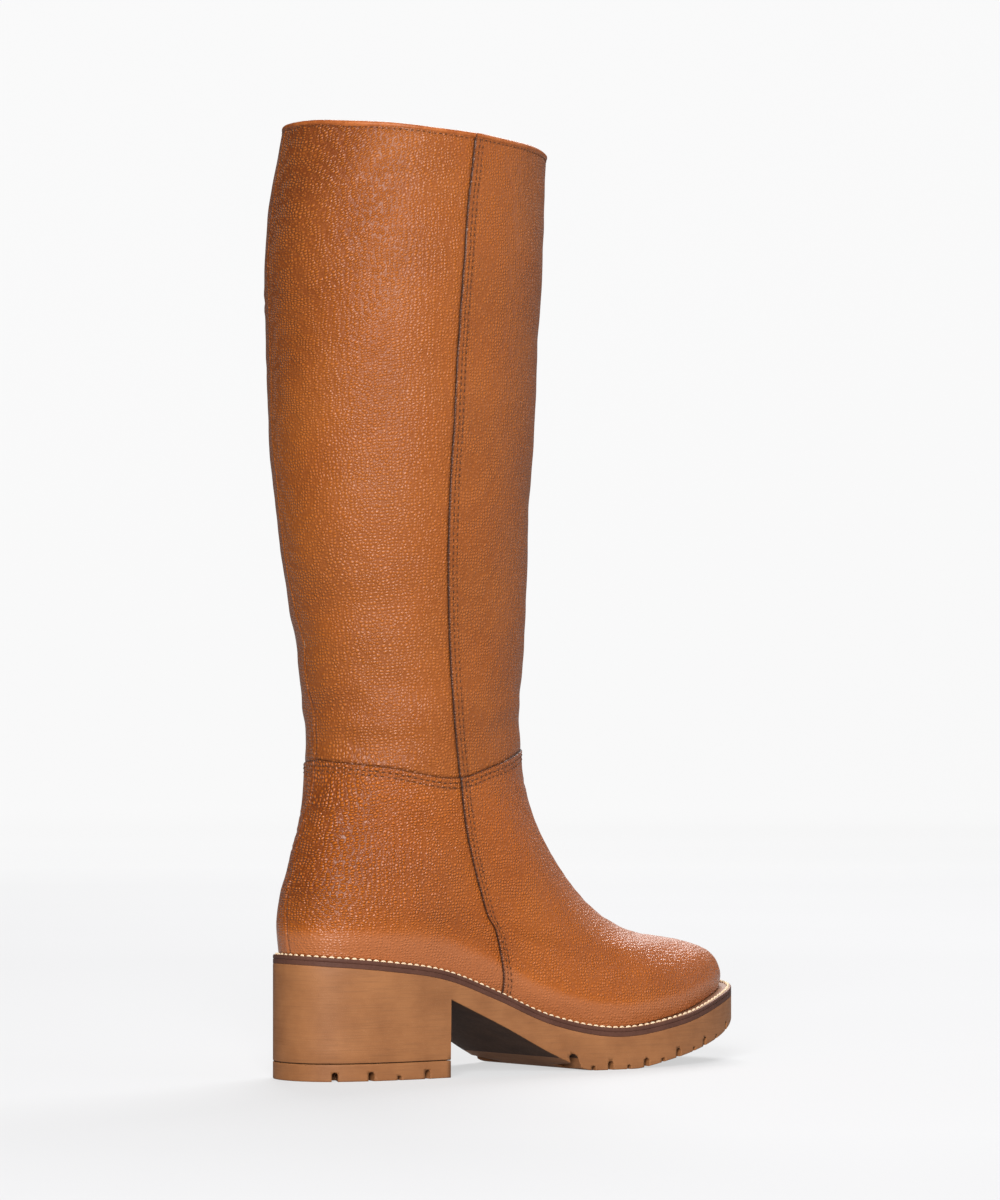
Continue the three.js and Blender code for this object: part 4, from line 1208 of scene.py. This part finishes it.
# The welt's section, from its lower outer rim round: outline, inset and rise over the welt's top.
WELT = [(EDGE, .35, -2.12), (EDGE, .02, -1.75), (EDGE, 0, -1.1), (EDGE, .02, -.45), (EDGE, .30, -.08),
        (EDGE, .8, .02), (EDGE, 1.35, .0), (EDGE, 1.8, -.30), (EDGE, 2.6, -.38), (EDGE, 3.2, -.2),
        (FOOT_EDGE, 3.3, -.1), (FOOT_EDGE, 3.3, -2.12)]
WELT_FACE_ROWS = slice(4, 10)       # the rows of WELT that show the welt's leather
STITCH_INSET, STITCH_RISE, STITCH_PITCH = 1.6, .28, 3.6
ROUND = np.linspace(0, 1, 420, endpoint=False)


def round_edge(sec, inset, rise):
    """A closed run round the sole, over the welt's top."""
    x, y = outline(sec, ROUND, inset)
    return np.stack([x, y, welt_top(x) + rise], -1)


def welt():
    points = np.stack([round_edge(*row) for row in WELT], 1)
    index = np.arange(points.shape[0] * points.shape[1]).reshape(points.shape[:2])
    a, b = index, np.roll(index, -1, 0)
    quads = np.stack([a, b, np.roll(b, -1, 1), np.roll(a, -1, 1)], -1)
    kinds = np.zeros(quads.shape[:2], int)
    kinds[:, WELT_FACE_ROWS] = 1
    solid("welt_strip", points.reshape(-1, 3), [quads.reshape(-1, 4)], [BAND, WELT_FACE], "sole_edge",
          replaced=["welt"], material_of=kinds.ravel())


def welt_stitches():
    path = round_edge(EDGE, STITCH_INSET, STITCH_RISE)
    path = np.concatenate([path, path[:1]])
    travelled = np.concatenate([[0], np.cumsum(length(np.diff(path, axis=0)))])
    count = round(travelled[-1] / STITCH_PITCH)
    at = (np.arange(count) + .5) * travelled[-1] / count
    centres = np.stack([np.interp(at, travelled, path[:, k]) for k in range(3)], -1)
    alongs = unit(np.roll(centres, -1, 0) - np.roll(centres, 1, 0))
    outs = unit(np.cross(alongs, np.cross(np.array([0, 0, 1.0]), alongs)))
    points, faces = thread(centres, alongs, outs, 3.0, .56, slant=-.13, dip=.5, rows=9, sides=10)
    build("welt_stitches", points, faces, [CREAM_THREAD], "thread")


def insole():
    points, faces = slab(np.linspace(0, .5, 60), FOOT_EDGE, below_welt(2.1), below_welt(-1.6),
                         rounded(.5, 2, inset=3.9), across=8)
    solid("insole_sock", points, faces, [SOCK], "lining", replaced=["insole"])


# ---- zip -------------------------------------------------------------------------------------

COLLAR_ZIP = 1 - float(side_seam(COLLAR))
COLLAR_UP = climb(COLLAR, COLLAR_ZIP)
SLIDER_LEVEL = COLLAR - 11 / COLLAR_UP
# The coil's teeth; those of the second side start a skip further up.
TOOTH = dict(pitch=1.42, skip=.7, aside=1.36, down=.95, lean=.42, long=3.3, radius=.60)
CORE_WIDTH, CORE_DEPTH = 4.6, (1.25, 2.6)
TAPE_WIDTH = 24


def zip_turn(level):
    return 1 - side_seam(level)


def zip_pieces():
    foot_up = climb(ZIP_BOTTOM, zip_turn(ZIP_BOTTOM))
    chain_foot = ZIP_BOTTOM + .6 / foot_up
    levels = np.linspace(ZIP_BOTTOM - 1.5 / foot_up, COLLAR - 1.2 / COLLAR_UP, 240)
    ribbon("zip_tape", zip_turn, levels, TAPE_WIDTH, TAPE_DEPTH, TAPE, "zip_tape", 12, replaced=["zip"])
    levels = np.linspace(chain_foot, SLIDER_LEVEL + 2.0 / COLLAR_UP, 240)
    ribbon("zip_core", zip_turn, levels, CORE_WIDTH, CORE_DEPTH, TAPE, "zip_tape", 4)
    run = np.linspace(chain_foot + .02, SLIDER_LEVEL - 2.5 / COLLAR_UP, 2500)
    centres, alongs, outs = [], [], []
    for side, skip in ((1, 0.0), (-1, TOOTH["skip"])):
        level, turn = paced(run, zip_turn(run), TOOTH["pitch"], skip)
        up, around, out = bearings(level, turn)
        up, around = unit(up), unit(around)
        centres.append(skin(level, turn) + around * side * TOOTH["aside"] - out * TOOTH["down"])
        alongs.append(unit(around * side + up * TOOTH["lean"]))
        outs.append(out)
    points, faces = thread(*map(np.concatenate, (centres, alongs, outs)), TOOTH["long"], TOOTH["radius"],
                           dip=.22, sides=7)
    build("zip_coil", points, faces, [COIL], "zip_tape")


def slider_matrix():
    """From the slider's own axes, across, up the zip and outward, to the boot's."""
    at = np.array([SLIDER_LEVEL]), np.array([COLLAR_ZIP])
    up, _, out = bearings(*at)
    along, outward = Vector(unit(up)[0]), Vector(out[0])
    across = along.cross(outward).normalized()
    matrix = Matrix((across, along, outward)).transposed().to_4x4()
    return Matrix.Translation(Vector(skin(*at)[0]) * MM) @ matrix


def plate(name, loops, low, high, bevel, matrix):
    """A flat part with rounded rims, cut to its outlines; loops after the first are its holes."""
    curve = bpy.data.curves.new(name, "CURVE")
    curve.dimensions, curve.fill_mode = "2D", "BOTH"
    curve.extrude = max(0, (high - low) / 2 - bevel) * MM
    curve.bevel_depth, curve.bevel_resolution = bevel * MM, 2
    curve.offset = -bevel * MM
    for loop in loops:
        spline = curve.splines.new("POLY")
        spline.points.add(len(loop) - 1)
        for point, (x, y) in zip(spline.points, loop):
            point.co = (x * MM, y * MM, 0, 1)
        spline.use_cyclic_u = True
    thing = placed(name + "_outline", curve)
    bpy.context.view_layer.update()
    mesh = bpy.data.meshes.new_from_object(thing.evaluated_get(bpy.context.evaluated_depsgraph_get()))
    bpy.data.objects.remove(thing)
    mesh.transform(matrix @ Matrix.Translation((0, 0, (low + high) / 2 * MM)))
    tidy_mesh(mesh, .002)
    return mesh


def arc(cx, cy, radius, start, stop, steps):
    return [(cx + radius * math.cos(t), cy + radius * math.sin(t)) for t in np.linspace(start, stop, steps)]


def metal_piece(name, meshes, node, body):
    """One piece of metal joined from flat parts."""
    work = bmesh.new()
    for mesh in meshes:
        work.from_mesh(mesh)
    merged = bpy.data.meshes.new(name)
    work.to_mesh(merged)
    work.free()
    merged.materials.clear()
    merged.materials.append(METAL)
    merged.polygons.foreach_set("material_index", [0] * len(merged.polygons))
    shade_smooth(merged)
    merged.set_sharp_from_angle(angle=math.radians(38))
    finish_piece(placed(name, merged), "zip_metal", [node], body)


def slider_body(at):
    body = [(-3.6, -6), (3.6, -6), (3.9, -5.4), (4.6, 3.2), (4.4, 4.2), (2.9, 5.9), (2.0, 6.3), (0, 6.4),
            (-2.0, 6.3), (-2.9, 5.9), (-4.4, 4.2), (-4.6, 3.2), (-3.9, -5.4)]
    low, high, roof = -3.9, 4.7, 4.3
    arch = [(low, 1.6), (low + .1, roof - .3), (low + .8, roof + .9), (low + 1.8, roof + 1.3),
            (high - 1.6, roof + 1.3), (high - .6, roof + .9), (high, roof - .3), (high, 1.6),
            (high - 1.3, 1.6), (high - 1.3, roof - .2), (high - 1.7, roof), (low + 1.9, roof),
            (low + 1.4, roof - .3), (low + 1.3, 1.6)]
    on_edge = at @ Matrix(((0, 0, 1, 0), (1, 0, 0, 0), (0, 1, 0, 0), (0, 0, 0, 1)))
    return [plate("slider_base", [body], .4, 2.0, .35, at),
            plate("slider_bridge", [arch], -.9, .9, .22, on_edge),
            plate("slider_neck", [[(-1.4, 3), (1.4, 3), (1.4, 5.5), (-1.4, 5.5)]], -1.7, .8, .1, at)]


def pull_tab(at):
    """The tab hangs from its hinge: a bar at the top, a window under it and a hole at its end."""
    top, thick, half, long, middle = 2.1, 1.2, 3.0, 25.0, 3.15
    end = top - long
    shape = [(-half + 1, top), *arc(-half + .6, top - .9, .6, math.pi * .6, math.pi, 4),
             (-half + .25, top - 8), *arc(0, end + half, half, math.pi, 2 * math.pi, 17),
             (half - .25, top - 8), *arc(half - .6, top - .9, .6, 0, math.pi * .4, 4), (half - 1, top)]
    window = [*arc(-.9, top - 2.0, .8, math.pi, math.pi / 2, 4),
              *arc(.9, top - 2.0, .8, math.pi / 2, 0, 4),
              *arc(.9, top - 9.4, .8, 0, -math.pi / 2, 4),
              *arc(-.9, top - 9.4, .8, -math.pi / 2, -math.pi, 4)]
    hole = arc(0, end + half, 1.2, 0, -2 * math.pi * .9375, 16)
    return plate("tab_plate", [shape, window, hole], middle - thick / 2, middle + thick / 2, .25, at)


def gusset():
    levels = np.linspace(COLLAR - ELASTIC_LONG / SLIT_UP, COLLAR - 1.2 / SLIT_UP, 60)
    ribbon("gusset_elastic", lambda level: np.full(level.shape, SLIT_TURN), levels, ELASTIC_WIDE,
           ELASTIC_DEPTH, ELASTIC, "elastic", 16, replaced=["gusset"])


leather_panels()
lining_panel()
collar_fold()
sew("seam_stitches", seam_runs(), DARK_THREAD, long=2.3, pitch=3.0, radius=.34)
sew("zip_stitches", zip_runs(), ZIP_THREAD, long=2.0, pitch=2.8, radius=.33)
sew("back_seam_stitches", back_runs(), DARK_THREAD, long=1.6, pitch=2.4, radius=.24, lift=0)
sew("rim_stitches", rim_runs(), DARK_THREAD, long=1.9, pitch=2.7, radius=.29)
outsole()
top_lift()
midsole()
welt()
welt_stitches()
insole()
zip_pieces()
metal_piece("zip_slider_body", slider_body(slider_matrix()), "zip_slider", "boot")
metal_piece("zip_tab", [pull_tab(slider_matrix())], "zip_pull_tab", "pull_tab")
gusset()

# ---- studio -----------------------------------------------------------------------------------

VIEW_ANGLE = math.radians(38)       # from +Y towards +X: the photo's angle to the boot
CAMERA_BACK, CAMERA_RIGHT, CAMERA_UP = 3.0, .0122, .215
LENS, PITCH_DOWN, YAW_RIGHT = 232.0, -.131, 1.081
FORWARD = Vector((math.sin(VIEW_ANGLE), math.cos(VIEW_ANGLE), 0))
RIGHT = Vector((math.cos(VIEW_ANGLE), -math.sin(VIEW_ANGLE), 0))

# How brightly the paper must glow to look even, against metres beyond the boot.
PAPER_GLOW = [(-3.4, .80), (-2.2, .32), (-1.2, .34), (-.69, .51), (-.33, .575), (.16, .587), (.6, .573),
              (1.0, .554), (1.4, .565), (1.75, .60), (2.1, .665), (2.5, .77), (3.05, .858),
              (3.7, .895), (4.2, .90)]


def studio_paper():
    """Matt white paper, lit evenly to the eye. What it sends to the boot is dimmer at both sides."""
    p = Paint("studio_paper", Roughness=.9, Specular_IOR_Level=.1)
    p.set(Base_Color=p.mix(p.noise(p.place(), 2.0), (.195, .195, .20), (.205, .205, .21)))
    ahead = p.node("VectorMath", {0: p.place(), 1: tuple(FORWARD)}, out="Value", operation="DOT_PRODUCT")
    aside = p.node("VectorMath", {0: p.place(), 1: tuple(RIGHT)}, out="Value", operation="DOT_PRODUCT")
    p.shader.inputs["Emission Color"].default_value = (1, 1, 1, 1)
    even = PAPER_GLOW[0][1]
    for (near, dim), (far, bright) in zip(PAPER_GLOW, PAPER_GLOW[1:]):
        even = p.math("ADD", even, p.range(ahead, near, far, 0, bright - dim, "LINEAR"))
    cast = p.math("MULTIPLY", p.range(ahead, -1.6, 3.2, .04, .50), p.range(aside, -1.4, -.5, .02, 1.0))
    cast = p.math("MULTIPLY", cast, p.range(aside, .4, 1.4, 1.0, .14))
    seen = p.node("LightPath", out="Is Camera Ray")
    unseen = p.math("MULTIPLY", cast, p.math("SUBTRACT", 1.0, seen))
    p.set(Emission_Strength=p.math("ADD", p.math("MULTIPLY", even, seen), unseen))
    p.material.cycles.emission_sampling = "NONE"
    return p.material


def backdrop():
    """A pale round floor that sweeps up into a wall on every side."""
    radius, bend, rise, sides = 4.2, 1.6, 5.5, 96
    profile = [(r, 0.0) for r in (0.0, .5, 1.0, 2.0, 3.2, radius)]
    profile += [(radius + bend * math.sin(t), bend - bend * math.cos(t))
                for t in np.linspace(.08, math.pi / 2, 16)]
    profile.append((radius + bend, rise))
    points = [(r * math.cos(t), r * math.sin(t), up) for r, up in profile
              for t in np.linspace(0, 2 * math.pi, sides, endpoint=False)]
    mesh = mesh_of("studio_floor", np.array(points) / MM, [rings(len(profile), sides)[0]])
    tidy_mesh(mesh)
    mesh.materials.append(studio_paper())
    shade_smooth(mesh)
    placed("studio_floor", mesh)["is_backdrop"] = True


AIM = Vector((.04, 0, .22))


def softbox(name, place, distance, size, power):
    """A soft light aimed at the boot. Its place is so far right, up and to the camera's side."""
    light = bpy.data.lights.new(name, "AREA")
    light.shape, light.energy = "RECTANGLE", power
    light.size, light.size_y = size
    lamp = placed(name, light)
    right, up, back = place
    way = (RIGHT * right + Vector((0, 0, up)) - FORWARD * back).normalized()
    lamp.location = AIM + way * distance
    lamp.rotation_euler = way.to_track_quat("Z", "Y").to_euler()
    lamp.visible_camera = False


def world(colour, strength):
    bpy.context.scene.world = bpy.data.worlds.new("studio")
    bpy.context.scene.world.use_nodes = True
    node = bpy.context.scene.world.node_tree.nodes["Background"]
    node.inputs["Color"].default_value = (*colour, 1)
    node.inputs["Strength"].default_value = strength


def camera():
    data = bpy.data.cameras.new("camera")
    data.sensor_width, data.sensor_fit = 36, "HORIZONTAL"
    data.lens = LENS
    data.clip_start, data.clip_end = .1, 20
    thing = placed("camera", data)
    thing.location = FORWARD * -CAMERA_BACK + RIGHT * CAMERA_RIGHT + Vector((0, 0, CAMERA_UP))
    thing.rotation_euler = (math.radians(90 - PITCH_DOWN), 0, -VIEW_ANGLE - math.radians(YAW_RIGHT))
    bpy.context.scene.camera = thing


backdrop()
softbox("key", (-.08, .42, 1.0), distance=2.3, size=(.8, 1.5), power=87)
softbox("fill", (1.0, .3, .45), distance=2.3, size=(1.0, 1.6), power=8.5)
softbox("right_rim", (1.25, .25, -.45), distance=2.0, size=(.4, 1.9), power=6)
softbox("top", (.2, .85, -.9), distance=2.4, size=(1.5, 1.0), power=72)
world((.95, .97, 1.0), .03)
camera()
bpy.context.scene.view_settings.view_transform = "Standard"
bpy.context.scene.view_settings.look = "None"

boxes = {"before": bounds_before, "after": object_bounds()}
{when: [list(map(float, corner)) for corner in box] for when, box in boxes.items()}
